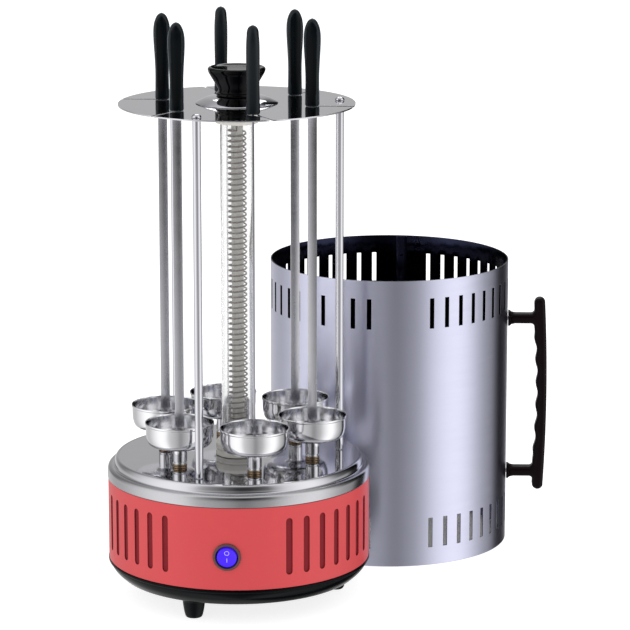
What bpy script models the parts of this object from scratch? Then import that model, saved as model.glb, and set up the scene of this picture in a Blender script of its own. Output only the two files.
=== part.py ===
"""Upright electric kebab grill: six turning skewers stand around a central heating tube on a round
motor base, under a slotted top disc. Its open-ended cylindrical cover stands behind it, to the right.

Metres, +Z up. The origin is at the middle of the whole set's footprint, on the table.
An azimuth is measured from the front (-Y) and grows towards the right (+X).
"""

import math

import bmesh
import bpy
from mathutils import Matrix

# ---------------------------------------------------------------- driving dimensions (metres)
CLEARANCE = 0.0003              # gap kept between two pieces that rest on each other or fit together
BASE_STEPS = 36                 # facets round the base's large rings

BAND_RADIUS = 0.1100            # red housing band, outside
BAND_WALL = 0.0012
BAND_BOTTOM = 0.0337
BAND_TOP = 0.1030
PAN_BOTTOM = 0.0180             # underside of the black pan
PAN_FLOOR = 0.0205              # its floor, inside
LIP_RADIUS = 0.1105             # outer edge of the steel deck
DECK_TOP = 0.1203               # polished plateau that the cups stand over
DECK_WALL = 0.0012

SLOT_WIDTH = 0.0053             # vents in the band
SLOT_BOTTOM = 0.0445
SLOT_TOP = 0.0925
SLOT_PITCH = 8.3                # degrees between neighbouring vents
SLOT_GROUPS = ((-73.5, 6), (23.3, 7), (106.0, 6), (-155.0, 6))   # first azimuth and number of vents

STATION_COUNT = 6
STATION_RADIUS = 0.0650         # circle of the cups and skewers
STATION_AZIMUTH = 13.0          # azimuth of station 1
BLADE_TURNS = (90.0, -8.0, 10.0, 90.0, 0.0, 0.0)   # how far each skewer's wide face is turned

CUP_RADIUS = 0.0290
CUP_RIM = 0.1590
CUP_BOTTOM = 0.1388
CUP_STEM_RADIUS = 0.0060
SHAFT_RADIUS = 0.0030           # turned end of the cup's stem, down to the gear
BUSH_TOP = 0.1234

MODULE = 0.0025                 # gear train: one ring of teeth drives all six cups
DRIVE_TEETH = 38
CUP_GEAR_TEETH = 14
PINION_TEETH = 8
GEAR_BOTTOM = 0.0839
GEAR_THICKNESS = 0.0065
PLATE_BOTTOM = 0.0820           # steel plate that carries the gears
PLATE_THICKNESS = 0.0015
PLATE_RADIUS = 0.1040

BLADE_WIDTH = 0.0076
BLADE_THICKNESS = 0.0018
BLADE_TIP = 0.1436
BLADE_TOP = 0.4550
TANG_GAP = 0.0004

DISC_RADIUS = 0.0980            # slotted top disc
DISC_TOP = 0.4185
DISC_THICKNESS = 0.0012
SEAT_RADIUS = 0.0050            # round seat in the disc where a blade turns
ENTRY_WIDTH = 0.0034            # open slot from the rim to a seat; a blade goes through edgewise
ENTRY_SHIFT = 4.8               # degrees from a seat to its slot's mouth in the rim
HANDLE_HEIGHT = 0.0717          # skewer handle, standing on the disc

POST_COUNT = 3
POST_CIRCLE = 0.0860
POST_AZIMUTH = -20.6
POST_RADIUS = 0.0034
STUD_RADIUS = 0.0022
FOOT_CIRCLE = 0.0820
FOOT_AZIMUTH = -25.9
FOOT_STUD_RADIUS = 0.0028
FOOT_COUNT = 3
PILLAR_CIRCLE = 0.0930          # pillars under the gear plate
PILLAR_SHIFT = 40.0             # degrees from a post to the next pillar

HEATER_RADIUS = 0.0140          # quartz tube
HEATER_WALL = 0.0014
SOCKET_RADIUS = 0.0150
CORE_RADIUS = 0.0050
CENTRE_STUD_RADIUS = 0.0030     # threaded stud that the knob is screwed on

SWITCH_AZIMUTH = -3.8
SWITCH_HEIGHT = 0.0621
SWITCH_BARREL = 0.0099
BEZEL_CREST = (0.0096, 0.0022)  # the bezel's foremost ring: its radius, and how far it stands proud
ROCKER_RADIUS = 0.0082
ROCKER_TILT = 6.0               # degrees, lower half pressed in
GLAND_AZIMUTH = 180.0
GLAND_HEIGHT = 0.0560
GLAND_BARREL = 0.0055

COVER_OFFSET = (0.1304, 0.1737)  # the cover's axis from the base's axis
COVER_RADIUS = 0.1055
COVER_WALL = 0.0010
COVER_HEIGHT = 0.2540
COVER_STEPS = 36
COVER_SLOT_SIZE = (0.0039, 0.0265)
COVER_SLOT_ROWS = (0.0293, 0.2247)                 # middle heights of the two rows
COVER_SLOT_PITCH = 7.76
COVER_SLOT_GROUPS = ((19.1, 19), (-173.7, 22))     # first azimuth and number of slots
GRIP_AZIMUTH = 88.5             # cover handle
GRIP_REACH = 0.1410             # its outermost face, from the cover's axis
GRIP_LOW = 0.0430
GRIP_HIGH = 0.2187
GRIP_WIDTH = 0.0130
ARM_HEIGHTS = (0.0596, 0.1998)
ARM_THICKNESS = 0.0090

# ---------------------------------------------------------------- worked out from those
LEFT = -LIP_RADIUS
SWITCH_ANGLE = math.radians(SWITCH_AZIMUTH)
FRONT = (-(BAND_RADIUS + BEZEL_CREST[1]) * math.cos(SWITCH_ANGLE)
         - BEZEL_CREST[0] * abs(math.sin(SWITCH_ANGLE)))
RIGHT = COVER_OFFSET[0] + GRIP_REACH * math.sin(math.radians(GRIP_AZIMUTH))
BACK = COVER_OFFSET[1] + COVER_RADIUS
BASE_AXIS = (-(LEFT + RIGHT) / 2, -(FRONT + BACK) / 2, 0.0)
COVER_AXIS = (BASE_AXIS[0] + COVER_OFFSET[0], BASE_AXIS[1] + COVER_OFFSET[1], 0.0)
STATION_STEP = 360.0 / STATION_COUNT
PINION_CIRCLE = (DRIVE_TEETH + PINION_TEETH) * MODULE / 2
PINION_AZIMUTH = STATION_AZIMUTH + 2.5 * STATION_STEP
MOTOR_TOP = PLATE_BOTTOM - CLEARANCE
TUBE_BOTTOM = 0.1266
TUBE_TOP = 0.4080

# ---------------------------------------------------------------- empty scene, two collections
for old in list(bpy.data.objects):
    bpy.data.objects.remove(old, do_unlink=True)

PARTS = bpy.data.collections.new("kebab_grill")
CUTTERS = bpy.data.collections.new("cutters")
bpy.context.scene.collection.children.link(PARTS)
bpy.context.scene.collection.children.link(CUTTERS)


# ---------------------------------------------------------------- helpers
def finish(name, colour, metallic, roughness):
    """A Principled material."""
    material = bpy.data.materials.new(name)
    material.use_nodes = True
    shader = material.node_tree.nodes["Principled BSDF"]
    shader.inputs["Base Color"].default_value = (*colour, 1.0)
    shader.inputs["Metallic"].default_value = metallic
    shader.inputs["Roughness"].default_value = roughness
    return material


def around(radius, azimuth, height=0.0):
    """The point at a radius and an azimuth from an upright axis."""
    angle = math.radians(azimuth)
    return (radius * math.sin(angle), -radius * math.cos(angle), height)


def facing(azimuth):
    """Rotation that turns a piece's own +Z outwards, level, at an azimuth, with its own +Y up."""
    return (math.pi / 2, 0.0, math.radians(azimuth))


def placed(data, name, material, parent=None, location=(0, 0, 0), rotation=(0, 0, 0)):
    """A new object in the parts collection."""
    piece = bpy.data.objects.new(name, data)
    if material and not data.materials:
        data.materials.append(material)
    piece.parent = parent
    piece.location = location
    piece.rotation_euler = rotation
    PARTS.objects.link(piece)
    return piece


def axis_empty(name, location, parent=None):
    """An empty on an upright axis that pieces are parented to."""
    empty = bpy.data.objects.new(name, None)
    empty.location = location
    empty.parent = parent
    PARTS.objects.link(empty)
    return empty


def profile_mesh(name, profile, loop=False):
    """The edges of a profile given as (radius, height) points, for a Screw."""
    mesh = bpy.data.meshes.new(name)
    edges = [(i, i + 1) for i in range(len(profile) - 1)]
    if loop:
        edges.append((len(profile) - 1, 0))
    mesh.from_pydata([(radius, 0.0, height) for radius, height in profile], edges, [])
    return mesh


def turned(name, profile, steps, material, loop=False, **place):
    """A turned piece: the profile runs down its outer side; a loop goes back up inside."""
    piece = placed(profile_mesh(name, profile, loop), name, material, **place)
    screw = piece.modifiers.new("turn", "SCREW")
    screw.angle = math.tau
    screw.steps = steps
    screw.render_steps = steps
    screw.use_merge_vertices = True
    screw.merge_threshold = 0.00001
    screw.use_smooth_shade = True
    return piece


def plate(name, outlines, thickness, material, **place):
    """A flat piece: closed outlines, the first outside and the others holes, lying in its own XY."""
    curve = bpy.data.curves.new(name, "CURVE")
    curve.dimensions = "2D"
    curve.fill_mode = "BOTH"
    curve.extrude = thickness / 2
    for outline in outlines:
        spline = curve.splines.new("POLY")
        spline.points.add(len(outline) - 1)
        for point, (x, y) in zip(spline.points, outline):
            point.co = (x, y, 0.0, 1.0)
        spline.use_cyclic_u = True
    return placed(curve, name, material, **place)


def finished_mesh(piece):
    """The piece's mesh with its modifiers applied and its seams welded; the piece is removed."""
    evaluated = piece.evaluated_get(bpy.context.evaluated_depsgraph_get())
    mesh = bpy.data.meshes.new_from_object(evaluated)
    weld = bmesh.new()
    weld.from_mesh(mesh)
    bmesh.ops.remove_doubles(weld, verts=weld.verts, dist=0.000001)
    weld.to_mesh(mesh)
    weld.free()
    bpy.data.objects.remove(piece)
    return mesh


def meshed(piece):
    """The same piece as a mesh object, for a piece that began as a curve."""
    name, parent = piece.name, piece.parent
    location, rotation = tuple(piece.location), tuple(piece.rotation_euler)
    mesh = finished_mesh(piece)
    mesh.name = name
    return placed(mesh, name, None, parent=parent, location=location, rotation=rotation)


def cutter(name, mesh, parent=None, location=(0, 0, 0), rotation=(0, 0, 0)):
    """A cutter in its own collection, left out of the model."""
    tool = bpy.data.objects.new(name, mesh)
    tool.parent = parent
    tool.location = location
    tool.rotation_euler = rotation
    tool.hide_render = True
    tool.display_type = "WIRE"
    CUTTERS.objects.link(tool)
    return tool


def boolean(piece, tool, operation="DIFFERENCE"):
    """A Boolean on a piece, with the exact solver."""
    modifier = piece.modifiers.new(tool.name, "BOOLEAN")
    modifier.operation = operation
    modifier.solver = "EXACT"
    modifier.object = tool


def solids(name, shapes):
    """One mesh of several separate solids, each ("box" or "rod", its size, its matrix)."""
    group = bmesh.new()
    for kind, size, matrix in shapes:
        if kind == "box":
            bmesh.ops.create_cube(group, size=1.0, matrix=matrix @ Matrix.Diagonal((*size, 1.0)))
        else:
            radius, depth, segments = size
            bmesh.ops.create_cone(group, cap_ends=True, segments=segments, radius1=radius,
                                  radius2=radius, depth=depth, matrix=matrix)
    mesh = bpy.data.meshes.new(name)
    group.to_mesh(mesh)
    group.free()
    return mesh


def copies(name, mesh, matrices):
    """One mesh that holds a copy of a mesh at each matrix."""
    group = bmesh.new()
    for matrix in matrices:
        first = len(group.verts)
        group.from_mesh(mesh)
        group.verts.ensure_lookup_table()
        bmesh.ops.transform(group, matrix=matrix, verts=group.verts[first:])
    joined = bpy.data.meshes.new(name)
    group.to_mesh(joined)
    group.free()
    return joined


def outward(radius, azimuth, height):
    """Matrix of a tool that stands at a radius and points outwards at an azimuth."""
    turn = Matrix.Rotation(math.radians(azimuth), 4, "Z")
    return turn @ Matrix.Translation((0, -radius, height)) @ Matrix.Rotation(math.pi / 2, 4, "X")


def circle(radius, count, centre=(0.0, 0.0), start=0.0):
    """Points on a circle, anticlockwise."""
    angles = [start + math.tau * i / count for i in range(count)]
    return [(centre[0] + radius * math.cos(a), centre[1] + radius * math.sin(a)) for a in angles]


def group_azimuths(groups, pitch):
    """Azimuths of slots that stand in groups, each a first azimuth and a count."""
    return [first + pitch * i for first, count in groups for i in range(count)]


def station_azimuth(index):
    return STATION_AZIMUTH + STATION_STEP * index


def post_azimuth(index):
    return POST_AZIMUTH + 360.0 / POST_COUNT * index


def foot_azimuth(index):
    return FOOT_AZIMUTH + 360.0 / FOOT_COUNT * index


# ---------------------------------------------------------------- materials
BLACK_PLASTIC = finish("black_plastic", (0.012, 0.013, 0.015), 0.0, 0.28)
GLOSS_BLACK = finish("gloss_black", (0.008, 0.008, 0.009), 0.0, 0.08)
GRIP_BROWN = finish("brown_black_plastic", (0.020, 0.012, 0.012), 0.0, 0.35)
CORAL_PAINT = finish("coral_paint", (0.70, 0.086, 0.090), 0.0, 0.32)
POLISHED_STEEL = finish("polished_steel", (0.78, 0.78, 0.80), 1.0, 0.08)
POLISHED_ALUMINIUM = finish("polished_aluminium", (0.85, 0.85, 0.86), 1.0, 0.12)
ZINC_PLATE = finish("zinc_plate", (0.60, 0.61, 0.62), 1.0, 0.40)
BRASS = finish("brass", (0.62, 0.42, 0.20), 1.0, 0.25)
NYLON = finish("nylon", (0.80, 0.78, 0.70), 0.0, 0.45)
CERAMIC = finish("ceramic", (0.85, 0.83, 0.78), 0.0, 0.50)
QUARTZ = finish("quartz", (0.90, 0.88, 0.86), 0.0, 0.05)
ROCKER_BLUE = finish("rocker_blue", (0.10, 0.03, 0.95), 0.0, 0.20)

base_axis = axis_empty("base_axis", BASE_AXIS)
cover_axis = axis_empty("cover_axis", COVER_AXIS)
station_axes = [
    axis_empty(f"station_axis_{index + 1}", around(STATION_RADIUS, station_azimuth(index)), base_axis)
    for index in range(STATION_COUNT)
]


# ---------------------------------------------------------------- base: pan, feet, band, deck
def build_pan():
    """Black moulded pan with three pillars for the gear plate and a hole for each foot."""
    spigot = BAND_RADIUS - BAND_WALL - CLEARANCE
    ledge = BAND_BOTTOM - CLEARANCE
    pan = turned("base_pan", [
        (0.0, PAN_FLOOR), (0.0970, PAN_FLOOR), (0.1060, 0.0315), (0.1060, 0.0390),
        (spigot, 0.0390), (spigot, ledge), (BAND_RADIUS, ledge), (0.1094, 0.0300), (0.1076, 0.0268),
        (0.1034, 0.0236), (0.0980, PAN_BOTTOM), (0.0, PAN_BOTTOM),
    ], BASE_STEPS, BLACK_PLASTIC, parent=base_axis)
    pillar_top = PLATE_BOTTOM - CLEARANCE
    pillar_bottom = (PAN_BOTTOM + PAN_FLOOR) / 2
    pillars = [
        ("rod", (0.0040, pillar_top - pillar_bottom, 12),
         Matrix.Translation(around(PILLAR_CIRCLE, post_azimuth(i) + PILLAR_SHIFT,
                                   (pillar_top + pillar_bottom) / 2)))
        for i in range(POST_COUNT)
    ]
    boolean(pan, cutter("pan_pillars", solids("pan_pillars", pillars), base_axis), "UNION")
    holes = [
        ("rod", (FOOT_STUD_RADIUS + CLEARANCE, 0.0200, 12),
         Matrix.Translation(around(FOOT_CIRCLE, foot_azimuth(i), PAN_BOTTOM)))
        for i in range(FOOT_COUNT)
    ]
    boolean(pan, cutter("pan_foot_holes", solids("pan_foot_holes", holes), base_axis))


def build_feet():
    """Push-in cone feet, rounded at the bottom."""
    top = PAN_BOTTOM - CLEARANCE
    profile = [
        (0.0, 0.0235), (FOOT_STUD_RADIUS, 0.0235), (FOOT_STUD_RADIUS, top), (0.0105, top),
        (0.0080, 0.0045), (0.0055, 0.0), (0.0, 0.0),
    ]
    for index in range(FOOT_COUNT):
        turned(f"foot_{index + 1}", profile, 14, BLACK_PLASTIC, parent=base_axis,
               location=around(FOOT_CIRCLE, foot_azimuth(index)))


def vent_outline():
    """Upright slot with round ends, about the origin."""
    half_width = SLOT_WIDTH / 2
    straight = (SLOT_TOP - SLOT_BOTTOM) / 2 - half_width
    ends = 3
    top = [(half_width * math.cos(math.pi * i / ends), straight + half_width * math.sin(math.pi * i / ends))
           for i in range(ends + 1)]
    return top + [(-x, -y) for x, y in top]


def build_band():
    """Painted sheet-steel band with groups of vents and the holes for the switch and the cord gland."""
    inside = BAND_RADIUS - BAND_WALL
    band = turned("housing_band", [
        (inside, BAND_TOP), (BAND_RADIUS, BAND_TOP), (BAND_RADIUS, BAND_BOTTOM), (inside, BAND_BOTTOM),
    ], BASE_STEPS, CORAL_PAINT, loop=True, parent=base_axis)
    vent = finished_mesh(plate("vent", [vent_outline()], 0.0080, None))
    places = [
        outward(BAND_RADIUS - BAND_WALL / 2, azimuth, (SLOT_TOP + SLOT_BOTTOM) / 2)
        for azimuth in group_azimuths(SLOT_GROUPS, SLOT_PITCH)
    ]
    boolean(band, cutter("band_vents", copies("band_vents", vent, places), base_axis))
    holes = [
        ("rod", (SWITCH_BARREL + CLEARANCE, 0.0100, 20),
         outward(BAND_RADIUS, SWITCH_AZIMUTH, SWITCH_HEIGHT)),
        ("rod", (GLAND_BARREL + CLEARANCE, 0.0100, 12),
         outward(BAND_RADIUS, GLAND_AZIMUTH, GLAND_HEIGHT)),
    ]
    boolean(band, cutter("band_holes", solids("band_holes", holes), base_axis))


def build_deck():
    """Pressed steel deck: rolled lip, shoulder groove for the cover, raised plateau, holes."""
    skirt = BAND_TOP + CLEARANCE
    centre_hole = SOCKET_RADIUS + CLEARANCE
    under = DECK_TOP - DECK_WALL
    deck = turned("deck", [
        (centre_hole, DECK_TOP), (0.1015, DECK_TOP), (0.1042, 0.1180), (0.1050, 0.1138),
        (0.1078, 0.1131), (0.1100, 0.1105), (LIP_RADIUS, 0.1075), (LIP_RADIUS, skirt),
        (0.1093, skirt), (0.1089, 0.1100), (0.1035, 0.1130), (0.1010, under),
        (centre_hole, under),
    ], BASE_STEPS, POLISHED_STEEL, loop=True, parent=base_axis)
    bush_holes = [
        ("rod", (0.0052, 0.0100, 12), Matrix.Translation(around(STATION_RADIUS, station_azimuth(i), DECK_TOP)))
        for i in range(STATION_COUNT)
    ]
    post_holes = [
        ("rod", (STUD_RADIUS + CLEARANCE, 0.0100, 8),
         Matrix.Translation(around(POST_CIRCLE, post_azimuth(i), DECK_TOP)))
        for i in range(POST_COUNT)
    ]
    boolean(deck, cutter("deck_holes", solids("deck_holes", bush_holes + post_holes), base_axis))


# ---------------------------------------------------------------- drive inside the base
def gear_outline(teeth, root_share=0.50):
    """Straight-flanked teeth on a pitch circle, the first tooth centred on +X."""
    pitch_radius = teeth * MODULE / 2
    tip = pitch_radius + 0.80 * MODULE
    root = pitch_radius - 1.10 * MODULE
    tip_half = 0.33 * MODULE / tip
    root_half = root_share * math.pi / teeth
    outline = []
    for tooth in range(teeth):
        middle = math.tau * tooth / teeth
        for radius, offset in ((root, -root_half), (tip, -tip_half), (tip, tip_half), (root, root_half)):
            outline.append((radius * math.cos(middle + offset), radius * math.sin(middle + offset)))
    return outline


def meshing_turn(azimuth, teeth):
    """Turn of a gear at an azimuth that puts its gaps on the drive gear's teeth."""
    direction = math.radians(azimuth - 90.0)
    return direction + math.pi + (direction * DRIVE_TEETH - math.pi) / teeth


def build_drive():
    """Gear plate, drive gear, cup gears, and the gear motor with its pinion."""
    holes = [circle(SHAFT_RADIUS + CLEARANCE, 10, around(STATION_RADIUS, station_azimuth(i))[:2])
             for i in range(STATION_COUNT)]
    holes.append(circle(SOCKET_RADIUS + CLEARANCE, 24))
    holes.append(circle(0.0042, 10, around(PINION_CIRCLE, PINION_AZIMUTH)[:2]))
    plate("chassis_plate", [circle(PLATE_RADIUS, BASE_STEPS)] + holes, PLATE_THICKNESS, ZINC_PLATE,
          parent=base_axis, location=(0, 0, PLATE_BOTTOM + PLATE_THICKNESS / 2))

    middle = GEAR_BOTTOM + GEAR_THICKNESS / 2
    plate("drive_gear", [gear_outline(DRIVE_TEETH), circle(SOCKET_RADIUS + 0.0005, 24)],
          GEAR_THICKNESS, NYLON, parent=base_axis, location=(0, 0, middle))
    bore = circle(SHAFT_RADIUS + CLEARANCE, 10)
    for index, axis in enumerate(station_axes):
        plate(f"cup_gear_{index + 1}", [gear_outline(CUP_GEAR_TEETH, 0.56), bore], GEAR_THICKNESS, NYLON,
              parent=axis, location=(0, 0, middle),
              rotation=(0, 0, meshing_turn(station_azimuth(index), CUP_GEAR_TEETH)))

    pinion_axis = axis_empty("pinion_axis", around(PINION_CIRCLE, PINION_AZIMUTH), base_axis)
    pinion = meshed(plate("motor_pinion", [gear_outline(PINION_TEETH, 0.62)], GEAR_THICKNESS, BRASS,
                          parent=pinion_axis, location=(0, 0, middle),
                          rotation=(0, 0, meshing_turn(PINION_AZIMUTH, PINION_TEETH))))
    shaft = solids("pinion_shaft", [("rod", (0.0025, 0.0200, 12), Matrix.Translation((0, 0, -0.0070)))])
    boolean(pinion, cutter("pinion_shaft", shaft, pinion_axis, (0, 0, middle)), "UNION")

    can_bottom = 0.0625
    can = turned("gear_motor", [
        (0.0, MOTOR_TOP), (0.0250, MOTOR_TOP), (0.0250, can_bottom), (0.0, can_bottom),
    ], 24, ZINC_PLATE, parent=pinion_axis)
    ears = [("box", (0.0620, 0.0100, 0.0020), Matrix.Translation((0, 0, MOTOR_TOP - 0.0030)))]
    ears_tool = cutter("motor_ears", solids("motor_ears", ears), pinion_axis)
    boolean(can, ears_tool, "UNION")
    bore_tool = solids("motor_bore", [("rod", (0.0029, 0.0400, 12), Matrix.Translation((0, 0, 0.0880)))])
    boolean(can, cutter("motor_bore", bore_tool, pinion_axis))


# ---------------------------------------------------------------- heater
def build_heater():
    """Ceramic socket, quartz tube, wound core and the cap with the knob's stud."""
    socket_recess = HEATER_RADIUS + CLEARANCE
    core_hole = CORE_RADIUS + CLEARANCE
    turned("heater_socket", [
        (0.0, 0.1220), (core_hole, 0.1220), (core_hole, TUBE_BOTTOM - CLEARANCE),
        (socket_recess, TUBE_BOTTOM - CLEARANCE), (socket_recess, 0.1340), (0.0172, 0.1340),
        (0.0190, 0.1315), (0.0190, DECK_TOP + CLEARANCE), (SOCKET_RADIUS, DECK_TOP + CLEARANCE),
        (SOCKET_RADIUS, 0.0620), (0.0, 0.0620),
    ], 16, CERAMIC, parent=base_axis)
    turned("heater_tube", [
        (HEATER_RADIUS - HEATER_WALL, TUBE_TOP), (HEATER_RADIUS, TUBE_TOP),
        (HEATER_RADIUS, TUBE_BOTTOM), (HEATER_RADIUS - HEATER_WALL, TUBE_BOTTOM),
    ], 16, QUARTZ, loop=True, parent=base_axis)
    turned("heater_core", [
        (0.0, TUBE_TOP + 0.0037), (CORE_RADIUS, TUBE_TOP + 0.0037),
        (CORE_RADIUS, 0.1223), (0.0, 0.1223),
    ], 12, CERAMIC, parent=base_axis)
    under_disc = DISC_TOP - DISC_THICKNESS - CLEARANCE
    turned("heater_cap", [
        (0.0, 0.4400), (CENTRE_STUD_RADIUS, 0.4400), (CENTRE_STUD_RADIUS, under_disc), (0.0140, under_disc),
        (0.0178, 0.4140), (0.0178, 0.4020), (socket_recess, 0.4020), (socket_recess, TUBE_TOP + CLEARANCE),
        (core_hole, TUBE_TOP + CLEARANCE), (core_hole, 0.4120), (0.0, 0.4120),
    ], 16, CERAMIC, parent=base_axis)


# ---------------------------------------------------------------- posts, top disc, knob
def disc_outline():
    """Rim with six open slots, each leading to a round seat."""
    outline = []
    half_width = ENTRY_WIDTH / 2
    rim_points = 8
    seat_points = 8
    for index in range(STATION_COUNT):
        seat = around(STATION_RADIUS, station_azimuth(index))
        mouth = around(DISC_RADIUS, station_azimuth(index) + ENTRY_SHIFT)
        along = math.atan2(mouth[1] - seat[1], mouth[0] - seat[0])
        side = (-math.sin(along) * half_width, math.cos(along) * half_width)
        open_half = math.asin(half_width / SEAT_RADIUS)
        last = math.atan2(mouth[1] - side[1], mouth[0] - side[0])
        outline.append((DISC_RADIUS * math.cos(last), DISC_RADIUS * math.sin(last)))
        for i in range(seat_points + 1):
            turn = along - open_half - (math.tau - 2 * open_half) * i / seat_points
            outline.append((seat[0] + SEAT_RADIUS * math.cos(turn), seat[1] + SEAT_RADIUS * math.sin(turn)))
        first = math.atan2(mouth[1] + side[1], mouth[0] + side[0])
        span = math.radians(STATION_STEP) - 2 * half_width / DISC_RADIUS
        for i in range(rim_points):
            turn = first + span * i / rim_points
            outline.append((DISC_RADIUS * math.cos(turn), DISC_RADIUS * math.sin(turn)))
    return outline


def build_top():
    """Posts with their screws, the slotted disc, the dome and the knob."""
    under_disc = DISC_TOP - DISC_THICKNESS
    post = [
        (0.0, 0.4060), (0.0021, 0.4060), (0.0021, under_disc - CLEARANCE),
        (POST_RADIUS, under_disc - CLEARANCE), (POST_RADIUS, DECK_TOP + CLEARANCE),
        (STUD_RADIUS, DECK_TOP + CLEARANCE), (STUD_RADIUS, 0.1000), (0.0, 0.1000),
    ]
    head = DISC_TOP + CLEARANCE
    screw = [
        (0.0, head + 0.0026), (0.0022, head + 0.0022), (0.0040, head), (0.0018, head),
        (0.0018, 0.4080), (0.0, 0.4080),
    ]
    for index in range(POST_COUNT):
        spot = around(POST_CIRCLE, post_azimuth(index))
        turned(f"post_{index + 1}", post, 12, POLISHED_STEEL, parent=base_axis, location=spot)
        turned(f"post_screw_{index + 1}", screw, 12, POLISHED_STEEL, parent=base_axis, location=spot)

    holes = [circle(0.0022, 12, around(POST_CIRCLE, post_azimuth(i))[:2]) for i in range(POST_COUNT)]
    holes.append(circle(0.0040, 12))
    plate("top_disc", [disc_outline()] + holes, DISC_THICKNESS, POLISHED_STEEL, parent=base_axis,
          location=(0, 0, DISC_TOP - DISC_THICKNESS / 2))
    turned("knob_dome", [
        (0.0040, 0.4250), (0.0165, 0.4248), (0.0245, 0.4236), (0.0310, 0.4208),
        (0.0341, 0.4190), (0.0341, head), (0.0040, head),
    ], 20, POLISHED_STEEL, loop=True, parent=base_axis)
    bore = CENTRE_STUD_RADIUS + 0.0005
    turned("knob", [
        (0.0, 0.4468), (0.0180, 0.4470), (0.0205, 0.4486), (0.0228, 0.4484), (0.0240, 0.4466),
        (0.0228, 0.4430), (0.0156, 0.4308), (0.0152, 0.4290), (0.0170, 0.4272),
        (0.0170, 0.4253), (bore, 0.4253), (bore, 0.4410), (0.0, 0.4410),
    ], 20, GLOSS_BLACK, parent=base_axis)


# ---------------------------------------------------------------- cups and skewers
def cup_mesh():
    """Drip cup with its hub, stem and shaft, turned in one piece, with a socket for the blade's tip."""
    shaft_end = 0.0795
    stem_bottom = BUSH_TOP + CLEARANCE
    cup = turned("cup", [
        (0.0, 0.1520), (0.0066, 0.1520), (0.0068, 0.1420), (0.0255, 0.1420),
        (0.0276, CUP_RIM), (CUP_RADIUS, CUP_RIM), (0.0286, 0.1430), (0.0240, CUP_BOTTOM),
        (CUP_STEM_RADIUS, CUP_BOTTOM), (CUP_STEM_RADIUS, stem_bottom), (SHAFT_RADIUS, stem_bottom),
        (SHAFT_RADIUS, shaft_end), (0.0, shaft_end),
    ], 20, POLISHED_ALUMINIUM)
    socket_floor = BLADE_TIP - 0.0004
    socket = [("box", (BLADE_WIDTH + 2 * TANG_GAP, BLADE_THICKNESS + 2 * TANG_GAP, 0.0200),
               Matrix.Translation((0, 0, socket_floor + 0.0100)))]
    tool = cutter("tip_socket", solids("tip_socket", socket))
    boolean(cup, tool)
    return finished_mesh(cup)


def handle_mesh():
    """Spear-headed grip: rounded sections whose width and depth change with height, with a tang slot."""
    sections = (   # height share, half width, half depth
        (0.00, 0.0053, 0.0052), (0.01, 0.0058, 0.0057), (0.32, 0.0056, 0.0058), (0.50, 0.0061, 0.0060),
        (0.66, 0.0068, 0.0061), (0.79, 0.0070, 0.0060), (0.88, 0.0063, 0.0055), (0.95, 0.0045, 0.0044),
        (1.00, 0.0009, 0.0010),
    )
    corners = 10
    loft = bmesh.new()
    rings = []
    for share, half_width, half_depth in sections:
        ring = []
        for i in range(corners):
            angle = math.tau * (i + 0.5) / corners
            x, y = math.cos(angle), math.sin(angle)
            square = (abs(x) ** 3 + abs(y) ** 3) ** (-1 / 3)
            ring.append(loft.verts.new((half_width * x * square, half_depth * y * square,
                                        share * HANDLE_HEIGHT)))
        rings.append(ring)
    for lower, upper in zip(rings, rings[1:]):
        for i in range(corners):
            j = (i + 1) % corners
            loft.faces.new((lower[i], lower[j], upper[j], upper[i]))
    loft.faces.new(reversed(rings[0]))
    loft.faces.new(rings[-1])
    mesh = bpy.data.meshes.new("handle")
    loft.to_mesh(mesh)
    loft.free()
    handle = placed(mesh, "handle", BLACK_PLASTIC)
    depth = BLADE_TOP - DISC_TOP + TANG_GAP
    tang = [("box", (BLADE_WIDTH + 2 * TANG_GAP, BLADE_THICKNESS + 2 * TANG_GAP, 2 * depth),
             Matrix.Identity(4))]
    boolean(handle, cutter("tang_slot", solids("tang_slot", tang)))
    return finished_mesh(handle)


def build_stations():
    """A bush, a cup and a skewer on each station's axis."""
    bush = [
        (0.0034, BUSH_TOP), (0.0056, BUSH_TOP), (0.0060, 0.1229), (0.0060, DECK_TOP + CLEARANCE),
        (0.0049, DECK_TOP + CLEARANCE),
        (0.0049, 0.1120), (0.0034, 0.1120),
    ]
    cup, handle = cup_mesh(), handle_mesh()
    half = BLADE_WIDTH / 2
    blade = [(0.0, BLADE_TIP), (half, BLADE_TIP + 0.0140), (half, BLADE_TOP), (-half, BLADE_TOP),
             (-half, BLADE_TIP + 0.0140)]
    for index, axis in enumerate(station_axes):
        number = index + 1
        turn = math.radians(BLADE_TURNS[index])
        turned(f"cup_bush_{number}", bush, 12, BRASS, loop=True, parent=axis)
        placed(cup, f"cup_{number}", None, axis, rotation=(0, 0, turn))
        plate(f"skewer_blade_{number}", [blade], BLADE_THICKNESS, POLISHED_STEEL, parent=axis,
              rotation=(math.pi / 2, 0, turn))
        placed(handle, f"skewer_handle_{number}", None, axis, location=(0, 0, DISC_TOP + CLEARANCE),
               rotation=(0, 0, turn))


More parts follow.
